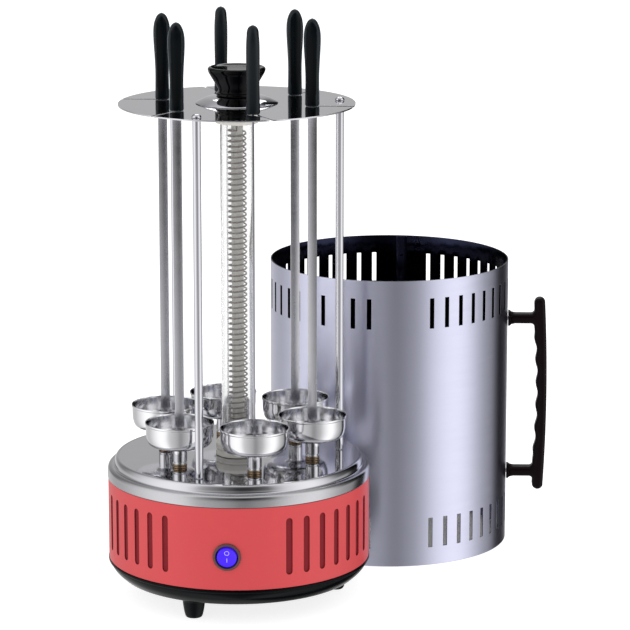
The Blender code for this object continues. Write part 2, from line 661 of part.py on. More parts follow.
# ---------------------------------------------------------------- switch and cord gland
def build_fittings():
    """Round rocker switch at the front and a cord gland at the back, both through the band."""
    flange = CLEARANCE
    turned("switch_housing", [
        (0.0, -0.0090), (ROCKER_RADIUS + 0.0006, -0.0090), (ROCKER_RADIUS + 0.0006, 0.0014),
        BEZEL_CREST, (0.0115, 0.0012), (0.0115, flange), (SWITCH_BARREL, flange),
        (SWITCH_BARREL, -0.0220), (0.0, -0.0220),
    ], 20, BLACK_PLASTIC, parent=base_axis, location=around(BAND_RADIUS, SWITCH_AZIMUTH, SWITCH_HEIGHT),
        rotation=facing(SWITCH_AZIMUTH))
    pivot_depth = 0.0030
    rocker = turned("switch_rocker", [
        (0.0, 0.0036), (0.0050, 0.0040), (0.0076, 0.0048), (ROCKER_RADIUS, 0.0044), (ROCKER_RADIUS, -0.0012),
        (0.0046, -0.0042), (0.0, -0.0042),
    ], 20, ROCKER_BLUE, parent=base_axis,
        location=around(BAND_RADIUS - pivot_depth, SWITCH_AZIMUTH, SWITCH_HEIGHT))
    lean = math.radians(ROCKER_TILT)
    rocker.rotation_euler = (math.pi / 2 + lean, 0.0, math.radians(SWITCH_AZIMUTH))
    turned("cord_gland", [
        (0.0, -0.0060), (0.0036, -0.0060), (0.0036, 0.0060), (0.0052, 0.0060),
        (0.0090, 0.0028), (0.0094, flange), (GLAND_BARREL, flange),
        (GLAND_BARREL, -0.0100), (0.0, -0.0100),
    ], 12, BLACK_PLASTIC, parent=base_axis, location=around(BAND_RADIUS, GLAND_AZIMUTH, GLAND_HEIGHT),
        rotation=facing(GLAND_AZIMUTH))


# ---------------------------------------------------------------- cover
def grip_outline():
    """Side view of the cover's handle as (reach, height): two arms and a bowed grip with finger hollows."""
    middle = (GRIP_LOW + GRIP_HIGH) / 2
    half = (GRIP_HIGH - GRIP_LOW) / 2
    foot = COVER_RADIUS + 0.0004
    half_arm = ARM_THICKNESS / 2
    low_arm, high_arm = ARM_HEIGHTS
    end_round = 0.0046
    inner_face = 0.1292

    def outer(height):
        return GRIP_REACH - 0.0026 * ((height - middle) / half) ** 2

    def inner(height):
        bow = 0.0030 * (1 - ((height - middle) / 0.0620) ** 2)
        hollow = 0.0008 * math.cos(math.tau * (height - middle) / 0.0205)
        return inner_face + max(bow, 0.0) + (hollow if bow > 0.0008 else 0.0)

    def rounded_end(tip, sign):
        centre = (inner_face + end_round, tip - sign * end_round)
        turns = [math.pi * i / 4 for i in range(1, 4)]
        points = [(centre[0] + end_round * math.cos(t), centre[1] + sign * end_round * math.sin(t))
                  for t in turns]
        return points if sign > 0 else points[::-1]

    outline = [(outer(GRIP_LOW + 0.0046 + i * (2 * half - 0.0092) / 8),
                GRIP_LOW + 0.0046 + i * (2 * half - 0.0092) / 8) for i in range(9)]
    outline += rounded_end(GRIP_HIGH, 1)
    outline += [(inner_face, GRIP_HIGH - end_round), (inner_face, high_arm + half_arm + 0.0015),
                (inner_face - 0.0015, high_arm + half_arm), (foot, high_arm + half_arm),
                (foot, high_arm - half_arm), (inner_face - 0.0015, high_arm - half_arm),
                (inner_face, high_arm - half_arm - 0.0015)]
    steps = 18
    top, bottom = high_arm - half_arm - 0.0060, low_arm + half_arm + 0.0060
    outline += [(inner(top + (bottom - top) * i / steps), top + (bottom - top) * i / steps)
                for i in range(steps + 1)]
    outline += [(inner_face, low_arm + half_arm + 0.0015), (inner_face - 0.0015, low_arm + half_arm),
                (foot, low_arm + half_arm), (foot, low_arm - half_arm),
                (inner_face - 0.0015, low_arm - half_arm), (inner_face, low_arm - half_arm - 0.0015),
                (inner_face, GRIP_LOW + end_round)]
    outline += rounded_end(GRIP_LOW, -1)
    return outline


def build_cover():
    """Open-ended steel cylinder with two rows of slots, its plastic handle and the handle's screws."""
    inside = COVER_RADIUS - COVER_WALL
    shell = turned("cover_shell", [
        (inside, COVER_HEIGHT), (COVER_RADIUS, COVER_HEIGHT), (COVER_RADIUS, 0.0), (inside, 0.0),
    ], COVER_STEPS, POLISHED_STEEL, loop=True, parent=cover_axis)
    width, height = COVER_SLOT_SIZE
    slots = [
        ("box", (width, height, 0.0080), outward(COVER_RADIUS - COVER_WALL / 2, azimuth, row))
        for azimuth in group_azimuths(COVER_SLOT_GROUPS, COVER_SLOT_PITCH) for row in COVER_SLOT_ROWS
    ]
    boolean(shell, cutter("cover_slots", solids("cover_slots", slots), cover_axis))
    screw_radius = 0.0019
    hole_radius = screw_radius + CLEARANCE
    holes = [("rod", (hole_radius, 0.0260, 12), outward(COVER_RADIUS, GRIP_AZIMUTH, z)) for z in ARM_HEIGHTS]
    boolean(shell, cutter("screw_holes", solids("screw_holes", holes), cover_axis))

    handle = meshed(plate("cover_handle", [grip_outline()], GRIP_WIDTH, GRIP_BROWN, parent=cover_axis,
                          rotation=(math.pi / 2, 0, math.radians(GRIP_AZIMUTH - 90.0))))
    bevel = handle.modifiers.new("rounded", "BEVEL")
    bevel.width = 0.0022
    bevel.segments = 1
    bevel.limit_method = "ANGLE"
    bevel.angle_limit = math.radians(60)
    boolean(handle, bpy.data.objects["screw_holes"])

    head_face = COVER_RADIUS - COVER_WALL - 0.0006
    profile = [
        (0.0, 0.0120), (screw_radius, 0.0120), (screw_radius, 0.0), (0.0042, 0.0), (0.0030, -0.0020),
        (0.0, -0.0024),
    ]
    for number, height in enumerate(ARM_HEIGHTS, 1):
        turned(f"cover_screw_{number}", profile, 12, POLISHED_STEEL, parent=cover_axis,
               location=around(head_face, GRIP_AZIMUTH, height), rotation=facing(GRIP_AZIMUTH))


build_pan()
build_feet()
build_band()
build_deck()
build_drive()
build_heater()
build_top()
build_stations()
build_fittings()
build_cover()
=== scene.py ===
"""Looks of the upright kebab grill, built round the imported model. Metres, +Z up.

An azimuth is measured from the front (-Y) and grows towards the right (+X). Every piece takes its
place and main sizes from the CAD node it stands for.
"""

from math import asin, atan2, copysign, cos, degrees, pi, radians, sin, tau

import bmesh
import bpy
from mathutils import Matrix, Vector


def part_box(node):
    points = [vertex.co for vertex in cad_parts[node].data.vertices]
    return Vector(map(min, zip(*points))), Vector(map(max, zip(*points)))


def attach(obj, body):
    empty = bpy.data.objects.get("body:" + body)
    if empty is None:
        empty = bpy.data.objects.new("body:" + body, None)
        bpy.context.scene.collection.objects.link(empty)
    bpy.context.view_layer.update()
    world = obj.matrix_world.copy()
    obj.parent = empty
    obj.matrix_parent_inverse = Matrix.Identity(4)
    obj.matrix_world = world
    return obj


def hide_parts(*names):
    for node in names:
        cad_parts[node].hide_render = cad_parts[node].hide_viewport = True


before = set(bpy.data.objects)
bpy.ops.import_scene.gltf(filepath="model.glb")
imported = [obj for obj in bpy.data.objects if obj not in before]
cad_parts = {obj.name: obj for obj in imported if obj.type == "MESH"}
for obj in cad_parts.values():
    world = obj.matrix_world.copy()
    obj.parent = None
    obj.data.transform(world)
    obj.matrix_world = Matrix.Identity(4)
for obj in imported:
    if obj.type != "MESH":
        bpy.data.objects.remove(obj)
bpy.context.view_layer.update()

# -------- sizes that the frame doesn't state
STEPS = 144  # facets round a large turned piece
SMALL_STEPS = 56  # facets round a small one
STATIONS = range(1, 7)
POSTS = range(1, 4)

VENT_WIDTH = 0.0057  # vents in the red band
VENT_LOW = 0.0445
VENT_HIGH = 0.0925
VENT_PITCH = 8.3  # degrees
VENT_GROUPS = ((-73.5, 6), (23.3, 7), (106.0, 6), (-155.0, 6))  # first azimuth, number of vents
SWITCH_AZIMUTH = -3.8
GLAND_AZIMUTH = 180.0
ROCKER_LEAN = radians(6.0)

BLADE_TURNS = (90.0, -8.0, 10.0, 90.0, 0.0, 0.0)  # how far each skewer's wide face is turned
BLADE_SIZE = (0.0076, 0.0018)
TANG_GAP = 0.0004
ENTRY_WIDTH = 0.0034  # open slots in the top disc
ENTRY_SHIFT = 4.8  # degrees from a seat to its slot's mouth
SEAT_RADIUS = 0.005

BAND_WALL = 0.0012
BAFFLE_MARGIN = (4.5, 0.002)  # how far a baffle passes its vents: degrees, metres
FIT_GAP = 0.0003  # left between two parts that rest on each other
SHEET = 0.0012  # thickness of the deck
COVER_WALL = 0.001
COVER_SLOT = (0.0039, 0.0265)
COVER_SLOT_ROWS = (0.0293, 0.2247)
COVER_SLOT_PITCH = 7.76  # degrees
COVER_SLOT_GROUPS = ((19.1, 19), (-173.7, 22))
FACET = 1.6  # degrees between two columns of the cover's facets
COVER_SEAM = 172.5  # azimuth of the overlapped seam
GRIP_AZIMUTH = 88.5
GRIP_ARMS = (0.0596, 0.1998)  # heights of the handle's two arms


# -------- places read from the frame
def span(node):
    """Half width, lowest and highest height of a node."""
    low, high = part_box(node)
    return (high.x - low.x) / 2, low.z, high.z


def upright(node):
    """The point on the table under the middle of a node."""
    low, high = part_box(node)
    return Vector(((low.x + high.x) / 2, (low.y + high.y) / 2, 0.0))


def across(node):
    """Half height and middle height of a node that points outwards."""
    low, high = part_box(node)
    return (high.z - low.z) / 2, (high.z + low.z) / 2


def azimuth_of(point, centre):
    return degrees(atan2(point.x - centre.x, centre.y - point.y))


def around(radius, azimuth, height=0.0):
    angle = radians(azimuth)
    return Vector((radius * sin(angle), -radius * cos(angle), height))


BASE = upright("heater_tube")
COVER = upright("cover_shell")
BAND_RADIUS, BAND_BOTTOM, BAND_TOP = span("housing_band")
COVER_RADIUS, _, COVER_HEIGHT = span("cover_shell")
DECK_RADIUS, DECK_BOTTOM, DECK_TOP = span("deck")
DISC_RADIUS, DISC_UNDER, DISC_TOP = span("top_disc")
STATION_PLACES = [upright(f"cup_bush_{k}") for k in STATIONS]
STATION_RADIUS = (STATION_PLACES[0] - BASE).length
STATION_AZIMUTHS = [azimuth_of(place, BASE) for place in STATION_PLACES]
POST_PLACES = [upright(f"post_{k}") for k in POSTS]
AT_BASE = Matrix.Translation(BASE)
AT_COVER = Matrix.Translation(COVER)
ONTO_EDGE = Matrix.Rotation(pi / 2, 4, "X")  # turns a flat piece's own +Y upwards


# -------- mesh helpers
def smoothed(mesh, angle=32.0):
    mesh.shade_smooth()
    mesh.set_sharp_from_angle(angle=radians(angle))
    return mesh


def mesh_of(name, shape, angle=32.0):
    """A smooth-shaded mesh from a bmesh."""
    mesh = bpy.data.meshes.new(name)
    shape.to_mesh(mesh)
    shape.free()
    return smoothed(mesh, angle)


def softened(points, loop=False, segments=4):
    """A profile of (radius, height) or (radius, height, corner), its corners made arcs."""
    count = len(points)
    result = []
    for i, point in enumerate(points):
        corner = Vector(point[:2])
        if len(point) < 3 or not loop and i in (0, count - 1):
            result.append(tuple(corner))
            continue
        before = Vector(points[i - 1][:2]) - corner
        after = Vector(points[(i + 1) % count][:2]) - corner
        start = corner + before.normalized() * min(point[2], before.length * 0.48)
        end = corner + after.normalized() * min(point[2], after.length * 0.48)
        for k in range(segments + 1):
            share = k / segments
            result.append(tuple(start.lerp(corner, share).lerp(corner.lerp(end, share), share)))
    return result


def lathe(name, points, steps=STEPS, loop=False, segments=4):
    """Turned mesh about its own Z; the profile runs down its outer side."""
    shape = bmesh.new()
    rings = []
    for radius, height in softened(points, loop, segments):
        count = steps if radius > 0.00001 else 1
        rings.append([shape.verts.new(around(radius, 360.0 * i / steps, height)) for i in range(count)])
    pairs = list(zip(rings, rings[1:]))
    if loop:
        pairs.append((rings[-1], rings[0]))
    for upper, lower in pairs:
        for i in range(steps):
            j = (i + 1) % steps
            corners = (upper[i % len(upper)], lower[i % len(lower)], lower[j % len(lower)],
                       upper[j % len(upper)])
            shape.faces.new(list(dict.fromkeys(corners)))
    bmesh.ops.recalc_face_normals(shape, faces=shape.faces)
    return mesh_of(name, shape)


def solids(name, shapes):
    """One mesh of separate boxes and rods, each (kind, size, matrix)."""
    group = bmesh.new()
    for kind, size, matrix in shapes:
        if kind == "box":
            bmesh.ops.create_cube(group, size=1.0, matrix=matrix @ Matrix.Diagonal((*size, 1.0)))
        else:
            radius, depth, segments = size
            bmesh.ops.create_cone(group, cap_ends=True, segments=segments, radius1=radius,
                                  radius2=radius, depth=depth, matrix=matrix)
    return mesh_of(name, group)


def curve_mesh(name, points, closed, **settings):
    """The mesh of a straight-sided curve through points, with the curve's own settings."""
    curve = bpy.data.curves.new(name, "CURVE")
    for setting, value in settings.items():
        setattr(curve, setting, value)
    spline = curve.splines.new("POLY")
    spline.points.add(len(points) - 1)
    for point, place in zip(spline.points, points):
        point.co = (*place, 1.0)
    spline.use_cyclic_u = closed
    return evaluated(placed(name, curve))


def outline_mesh(name, outline, thickness, rounding=0.0, resolution=3):
    """Flat piece in its own XY, with its edges rounded inwards."""
    return curve_mesh(name, [(x, y, 0.0) for x, y in outline], True, dimensions="2D", fill_mode="BOTH",
                      extrude=thickness / 2 - rounding, bevel_depth=rounding,
                      bevel_resolution=resolution, offset=-rounding)


def placed(name, data):
    """A new object in the scene."""
    thing = bpy.data.objects.new(name, data)
    bpy.context.scene.collection.objects.link(thing)
    return thing


def evaluated(source):
    """The mesh of an object with its modifiers applied; the object is removed."""
    bpy.context.view_layer.update()
    mesh = bpy.data.meshes.new_from_object(source.evaluated_get(bpy.context.evaluated_depsgraph_get()))
    weld = bmesh.new()
    weld.from_mesh(mesh)
    bmesh.ops.remove_doubles(weld, verts=weld.verts, dist=0.000002)
    weld.to_mesh(mesh)
    weld.free()
    bpy.data.objects.remove(source)
    return smoothed(mesh)


def carved(mesh, tool_mesh, edge=0.0, edge_angle=50.0):
    """The mesh cut by a tool, its new edges rounded."""
    tool = placed("tool", tool_mesh)
    source = placed(mesh.name, mesh)
    cut = source.modifiers.new("cut", "BOOLEAN")
    cut.operation = "DIFFERENCE"
    cut.solver = "EXACT"
    cut.object = tool
    if edge:
        add_bevel(source, edge, edge_angle)
    result = evaluated(source)
    bpy.data.objects.remove(tool)
    return result


def add_bevel(source, width, angle):
    bevel = source.modifiers.new("edge", "BEVEL")
    bevel.width = width
    bevel.segments = 2
    bevel.limit_method = "ANGLE"
    bevel.angle_limit = radians(angle)


def bevelled(mesh, width, angle=50.0):
    source = placed(mesh.name, mesh)
    add_bevel(source, width, angle)
    return evaluated(source)


def joined(name, meshes):
    """One mesh of several, each (mesh, matrix, material index)."""
    group = bmesh.new()
    for mesh, matrix, index in meshes:
        first_vert, first_face = len(group.verts), len(group.faces)
        group.from_mesh(mesh)
        group.verts.ensure_lookup_table()
        group.faces.ensure_lookup_table()
        bmesh.ops.transform(group, matrix=matrix, verts=group.verts[first_vert:])
        for face in group.faces[first_face:]:
            face.material_index = index
    return mesh_of(name, group)


def paint(mesh, index, chosen):
    """Gives a material index to the faces whose middle and normal are chosen."""
    for face in mesh.polygons:
        if chosen(face.center, face.normal):
            face.material_index = index


def shade_true(mesh, wall_radius=0.0):
    """Exact normals on level faces and on one upright round wall, whatever holes they have."""
    normals = [(0.0, 0.0, 0.0)] * len(mesh.loops)
    for face in mesh.polygons:
        on_wall = wall_radius and face.normal.xy.dot(face.center.xy) > 0.99 * face.center.xy.length
        if abs(face.normal.z) > 0.9995:
            for loop in face.loop_indices:
                normals[loop] = (0.0, 0.0, copysign(1.0, face.normal.z))
        elif on_wall:
            for loop in face.loop_indices:
                at = mesh.vertices[mesh.loops[loop].vertex_index].co
                if abs(at.xy.length - wall_radius) < 0.0001:
                    normals[loop] = (*at.xy.normalized(), 0.0)
    mesh.normals_split_custom_set(normals)
    return mesh


def outward(radius, azimuth, height):
    """Matrix of something that points outwards at an azimuth, its own +Y up."""
    return spun(azimuth) @ Matrix.Translation((0, -radius, height)) @ ONTO_EDGE


def raised(height):
    return Matrix.Translation((0, 0, height))


def spun(angle):
    return Matrix.Rotation(radians(angle), 4, "Z")


def rods_at(radius, segments, places, height=0.0):
    """Upright rods over places on the table, seen from the base's axis."""
    return [("rod", (radius, 0.01, segments), Matrix.Translation(place - BASE) @ raised(height))
            for place in places]


def with_cross(screw, height):
    """The screw with a cross recess in its head."""
    long, wide, deep = 0.0034, 0.000884, 0.002
    arms = [("box", size, raised(height)) for size in ((long, wide, deep), (wide, long, deep))]
    return carved(screw, solids("cross", arms))


def with_blade_hole(mesh, depth, height=0.0):
    """The mesh with a hole that takes a blade, centred at a height."""
    width, thickness = (side + 2 * TANG_GAP for side in BLADE_SIZE)
    return carved(mesh, solids("blade_hole", [("box", (width, thickness, depth), raised(height))]))


def azimuths(groups, pitch):
    return [first + pitch * i for first, count in groups for i in range(count)]


def table_row(table, place):
    """Smooth interpolation between the rows of a table, whose first value is the place."""
    i = max(k for k in range(len(table) - 1) if table[k][0] <= place)
    before, lower, upper = table[max(i - 1, 0)], table[i], table[i + 1]
    after = table[min(i + 2, len(table) - 1)]
    width = upper[0] - lower[0]
    u = (place - lower[0]) / width
    row = []
    for k in range(1, len(lower)):
        rise_in = (upper[k] - before[k]) / (upper[0] - before[0]) * width
        rise_out = (after[k] - lower[k]) / (after[0] - lower[0]) * width
        row.append((2 * u ** 3 - 3 * u ** 2 + 1) * lower[k] + (u ** 3 - 2 * u ** 2 + u) * rise_in
                   + (3 * u ** 2 - 2 * u ** 3) * upper[k] + (u ** 3 - u ** 2) * rise_out)
    return row


def smoothstep(low, high, value):
    share = min(max((value - low) / (high - low), 0.0), 1.0)
    return share * share * (3.0 - 2.0 * share)


def piece(node, finish, mesh, body, materials, matrix):
    """A finished object at its place, riding on a body and standing for a node, if any."""
    if not mesh.materials:
        for material in materials:
            mesh.materials.append(material)
    thing = placed(f"{node}_{finish}" if node else finish, mesh)
    thing.matrix_world = matrix
    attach(thing, body)
    if node:
        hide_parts(node)
    return thing


def with_inputs(node, **values):
    """The node, its sockets set by name, with _ for a space."""
    for socket, value in values.items():
        node.inputs[socket.replace("_", " ")].default_value = value
    return node


def math_nodes(tree):
    """A function that adds math nodes to a tree, fed by numbers or by other nodes' outputs."""
    def add(operation, first, second):
        node = tree.nodes.new("ShaderNodeMath")
        node.operation = operation
        for socket, value in zip(node.inputs, (first, second)):
            if isinstance(value, float):
                socket.default_value = value
            else:
                tree.links.new(value, socket)
        return node.outputs["Value"]

    return add


# -------- materials
def surface(name, colour, metallic, roughness, tint=0.05, tint_scale=60.0, uneven=0.03, uneven_scale=45.0,
            relief=0.0, relief_scale=900.0, specular=0.5, **sockets):
    """Principled material with slightly uneven colour and gloss, and a fine relief in metres.

    A scale is one number, or one each for X, Y and Z.
    """
    material = bpy.data.materials.new(name)
    material.use_nodes = True
    nodes, links = material.node_tree.nodes, material.node_tree.links
    shader = with_inputs(nodes["Principled BSDF"], Metallic=metallic, Specular_IOR_Level=specular, **sockets)
    coordinates = nodes.new("ShaderNodeTexCoord")

    def noise(scale, detail):
        scales = scale if isinstance(scale, tuple) else (scale,) * 3
        mapping = with_inputs(nodes.new("ShaderNodeMapping"), Scale=scales)
        texture = with_inputs(nodes.new("ShaderNodeTexNoise"), Scale=1.0, Detail=detail)
        links.new(coordinates.outputs["Object"], mapping.inputs["Vector"])
        links.new(mapping.outputs["Vector"], texture.inputs["Vector"])
        return texture.outputs["Fac"]

    shades = nodes.new("ShaderNodeMix")
    shades.data_type = "RGBA"
    with_inputs(shades, A=(*[c * (1 - tint) for c in colour], 1.0),
                B=(*[min(c * (1 + tint), 1.0) for c in colour], 1.0))
    links.new(noise(tint_scale, 3.0), shades.inputs["Factor"])
    links.new(shades.outputs["Result"], shader.inputs["Base Color"])

    gloss = with_inputs(nodes.new("ShaderNodeMapRange"), From_Min=0.3, From_Max=0.7,
                        To_Min=max(roughness - uneven, 0.01), To_Max=roughness + uneven)
    links.new(noise(uneven_scale, 4.0), gloss.inputs["Value"])
    links.new(gloss.outputs["Result"], shader.inputs["Roughness"])

    if relief:
        bump = with_inputs(nodes.new("ShaderNodeBump"), Strength=1.0, Distance=relief)
        links.new(noise(relief_scale, 2.0), bump.inputs["Height"])
        links.new(bump.outputs["Normal"], shader.inputs["Normal"])
    return material


def brush_round(material, amount):
    """Gloss of sheet rolled round an upright axis: highlights spread up and down."""
    nodes = material.node_tree.nodes
    shader = with_inputs(nodes["Principled BSDF"], Anisotropic=amount, Anisotropic_Rotation=0.25)
    tangent = nodes.new("ShaderNodeTangent")
    tangent.direction_type = "RADIAL"
    tangent.axis = "Z"
    material.node_tree.links.new(tangent.outputs["Tangent"], shader.inputs["Tangent"])
    return material


CORAL = surface("coral_paint", (0.6, 0.056, 0.062), 0.0, 0.38, tint=0.03, relief=0.00001,
                relief_scale=700.0, specular=0.35)
# Darker red for the vents' walls, the band's inside and the baffles behind the vents: painted shade of those
# recesses.
VENT_SHADE_RED = surface("vent_shade", (0.21, 0.016, 0.022), 0.0, 0.6, tint=0.08, specular=0.1)
PAN_BLACK = surface("pan_plastic", (0.0006, 0.0012, 0.0018), 0.0, 0.16, tint=0.15, relief=0.000004,
                    relief_scale=1400.0, specular=0.25, IOR=1.25)
RUBBER = surface("foot_rubber", (0.0016, 0.0026, 0.0034), 0.0, 0.26, tint=0.15, relief=0.00001,
                 relief_scale=1600.0, specular=0.25, IOR=1.3)
GRIP_BLACK = surface("skewer_grip_plastic", (0.003, 0.0062, 0.009), 0.0, 0.36, tint=0.2, uneven=0.05,
                     tint_scale=500.0, relief=0.000018, relief_scale=2600.0, specular=0.28,
                     Sheen_Weight=0.32, Sheen_Roughness=0.35, Sheen_Tint=(0.62, 0.86, 1.0, 1.0))
# Darker, glossier copy of the grip plastic for the panels on the wide faces: the gloss is the finish, the
# darkness is painted shade.
GRIP_PANEL_SHADE = surface("skewer_grip_panel_shade", (0.0014, 0.003, 0.0042), 0.0, 0.26, tint=0.15, uneven=0.04,
                     relief=0.00001, relief_scale=2600.0, specular=0.14)
GLOSS_BLACK = surface("knob_plastic", (0.001, 0.0012, 0.0018), 0.0, 0.09, tint=0.1, uneven=0.02,
                      uneven_scale=120.0, specular=0.15)
COVER_GRIP = surface("cover_grip_plastic", (0.005, 0.0016, 0.0024), 0.0, 0.28, tint=0.15, uneven=0.05,
                     relief=0.00001, relief_scale=2000.0, specular=0.25, IOR=1.3)
BEZEL = surface("switch_bezel_plastic", (0.105, 0.05, 0.054), 0.0, 0.4, tint=0.1, relief=0.00001,
                relief_scale=2500.0, specular=0.3)
BEZEL_DARK = surface("switch_well_plastic", (0.003, 0.002, 0.006), 0.0, 0.3, tint=0.1, specular=0.2)
ROCKER_BLUE = surface("rocker_blue", (0.035, 0.01, 0.45), 0.0, 0.22, tint=0.1, tint_scale=250.0,
                      specular=0.3, Emission_Color=(0.06, 0.014, 0.95, 1.0), Emission_Strength=0.55)
MARK_LILAC = surface("rocker_marks", (0.5, 0.42, 0.9), 0.0, 0.4,
                     Emission_Color=(0.5, 0.4, 1.0, 1.0), Emission_Strength=0.3)
COVER_STEEL = brush_round(surface(
    "cover_steel", (0.62, 0.625, 0.77), 1.0, 0.31, tint=0.02, tint_scale=(8.0, 8.0, 40.0),
    uneven_scale=(30.0, 30.0, 500.0), relief=0.0000008, relief_scale=(40.0, 40.0, 2500.0)), 0.85)
# Near-black, glossy steel for the cover's inside: painted shade inside the tube.
COVER_INSIDE_SHADE = surface("cover_inside_shade_steel", (0.02, 0.022, 0.045), 1.0, 0.16, tint=0.2, tint_scale=30.0,
                       uneven=0.06, relief=0.000004, relief_scale=(60.0, 60.0, 1500.0))
DISC_STEEL = surface("disc_steel", (0.6, 0.6, 0.63), 1.0, 0.055, tint=0.02, uneven=0.02,
                     relief=0.0000004, relief_scale=2600.0)
CHROME = surface("post_chrome", (0.66, 0.66, 0.7), 1.0, 0.07, tint=0.02, uneven=0.02, uneven_scale=200.0)
DECK_STEEL = surface("deck_steel", (0.6, 0.6, 0.63), 1.0, 0.055, tint=0.03, uneven=0.02,
                     relief=0.000001, relief_scale=250.0)
LIP_STEEL = surface("deck_lip_steel", (0.5, 0.5, 0.52), 1.0, 0.15, tint_scale=900.0, uneven=0.05,
                    relief=0.000003, relief_scale=1800.0)
CUP_METAL = surface("cup_aluminium", (0.76, 0.76, 0.78), 1.0, 0.11, tint=0.03, uneven_scale=150.0,
                    relief=0.000003, relief_scale=(90.0, 90.0, 1800.0))
BLADE_STEEL = surface("blade_steel", (0.7, 0.7, 0.74), 1.0, 0.24, uneven=0.05, relief=0.000003,
                      relief_scale=(2500.0, 2500.0, 60.0))
BRASS = surface("bush_brass", (0.34, 0.25, 0.16), 1.0, 0.28, tint=0.12, tint_scale=700.0,
                relief=0.000005, relief_scale=1500.0)
ZINC = surface("zinc_plate", (0.5, 0.51, 0.53), 1.0, 0.42, tint=0.1, tint_scale=180.0, uneven=0.08,
               relief=0.000006)
NYLON = surface("gear_nylon", (0.72, 0.7, 0.62), 0.0, 0.48, relief=0.00001, Subsurface_Weight=0.1,
                Subsurface_Scale=0.002)
CERAMIC = surface("ceramic", (0.72, 0.7, 0.65), 0.0, 0.55, tint=0.06, tint_scale=500.0,
                  relief=0.00002, relief_scale=1600.0)
QUARTZ = surface("quartz", (0.93, 0.93, 0.93), 0.0, 0.08, tint=0.02, uneven=0.04, Transmission_Weight=0.95,
                 IOR=1.46)
HEATING_WIRE = surface("heating_wire", (0.2, 0.17, 0.15), 1.0, 0.5, tint=0.3, tint_scale=400.0)


# -------- base
def build_pan():
    radius, low, high = span("base_pan")
    rim = BAND_BOTTOM - FIT_GAP
    floor = low + 0.0025
    spigot = 0.039
    profile = [
        (0.0, floor), (0.097, floor, 0.004), (0.1058, 0.0315, 0.003), (0.106, spigot, 0.0004),
        (0.1084, spigot, 0.0004), (0.1084, rim), (radius + 0.0004, rim, 0.0005),
        (radius + 0.0005, rim - 0.0022, 0.0008), (radius - 0.0009, rim - 0.0028, 0.0004),
        (radius - 0.0012, rim - 0.0042, 0.001), (0.1062, 0.0247, 0.004), (0.0995, low + 0.0006, 0.003),
        (0.0975, low, 0.0006), (0.0, low),
    ]
    pan = lathe("pan", profile)
    boss_low = low + 0.001
    boss = lathe("boss", [(0.0, high), (0.004, high, 0.0004), (0.0044, boss_low), (0.0, boss_low)],
                 SMALL_STEPS)
    bosses = [(boss, Matrix.Translation(around(0.093, azimuth_of(place, BASE) + 40.0)), 0)
              for place in POST_PLACES]
    pan = joined("pan", [(pan, raised(0.0), 0)] + bosses)
    piece("base_pan", "moulded", pan, "root", [PAN_BLACK], AT_BASE)


def build_feet():
    radius, low, high = span("foot_1")
    top = span("base_pan")[1] - FIT_GAP
    mesh = lathe("foot", [
        (0.0, high), (0.0028, high, 0.0004), (0.0028, top), (radius, top, 0.0006),
        (radius - 0.0003, top - 0.0022, 0.0008), (radius - 0.001, top - 0.003, 0.0006),
        (0.0084, 0.0062, 0.004), (0.007, 0.0006, 0.0026), (0.005, low, 0.0006), (0.0, low),
    ], SMALL_STEPS)
    for k in POSTS:
        piece(f"foot_{k}", "rubber", mesh, "root", [RUBBER],
              Matrix.Translation(upright(f"foot_{k}")))


def build_band():
    inside = BAND_RADIUS - BAND_WALL
    band = lathe("band", [
        (inside, BAND_TOP, 0.0004), (BAND_RADIUS, BAND_TOP, 0.0005), (BAND_RADIUS, BAND_BOTTOM, 0.0005),
        (inside, BAND_BOTTOM, 0.0004),
    ], 180, loop=True)
    half = VENT_WIDTH / 2
    straight = (VENT_HIGH - VENT_LOW) / 2 - half
    ends = 8
    top = [(half * cos(pi * i / ends), straight + half * sin(pi * i / ends))
           for i in range(ends + 1)]
    vent = outline_mesh("vent", top + [(-x, -y) for x, y in top], 0.008)
    middle = (VENT_HIGH + VENT_LOW) / 2
    tools = [(vent, outward(inside, azimuth, middle), 0) for azimuth in azimuths(VENT_GROUPS, VENT_PITCH)]
    for node, azimuth, radius in (("switch_housing", SWITCH_AZIMUTH, 0.0102),
                                  ("cord_gland", GLAND_AZIMUTH, 0.0058)):
        _, height = across(node)
        rod = solids("rod", [("rod", (radius, 0.01, 40), raised(0.0))])
        tools.append((rod, outward(BAND_RADIUS, azimuth, height), 0))
    band = carved(band, joined("vents", tools), edge=0.00012)
    # The vents' walls and the band's inside take the darker red: painted shade.
    paint(band, 1, lambda at, normal: at.xy.length < BAND_RADIUS - 0.0001)
    shade_true(band, BAND_RADIUS)
    reds = [piece("housing_band", "pressed", band, "root", [CORAL, VENT_SHADE_RED], AT_BASE)]
    # Baffles: dark red strips behind each group of vents, a painted stand-in for the shade seen through them.
    beyond, above = BAFFLE_MARGIN
    for number, (first, count) in enumerate(VENT_GROUPS, 1):
        strip = arc_plate("baffle", inside - 0.0001, 0.0005, first - beyond,
                          first + VENT_PITCH * (count - 1) + beyond, VENT_LOW - above, VENT_HIGH + above)
        reds.append(piece(None, f"vent_baffle_{number}", strip, "root", [VENT_SHADE_RED], AT_BASE))
    for red in reds:
        red.visible_glossy = False      # the cover beside them shows no red


def arc_plate(name, radius, wall, start, stop, low, high):
    """Upright curved plate between two azimuths."""
    shape = bmesh.new()
    steps = max(int((stop - start) / 1.5), 2)
    columns = []
    for i in range(steps + 1):
        azimuth = start + (stop - start) * i / steps
        columns.append([shape.verts.new(around(r, azimuth, z))
                        for r, z in ((radius, low), (radius, high),
                                     (radius - wall, high), (radius - wall, low))])
    for left, right in zip(columns, columns[1:]):
        for k in range(4):
            shape.faces.new((left[k], left[(k + 1) % 4], right[(k + 1) % 4], right[k]))
    shape.faces.new(columns[0])
    shape.faces.new(columns[-1])
    bmesh.ops.recalc_face_normals(shape, faces=shape.faces)
    return mesh_of(name, shape)


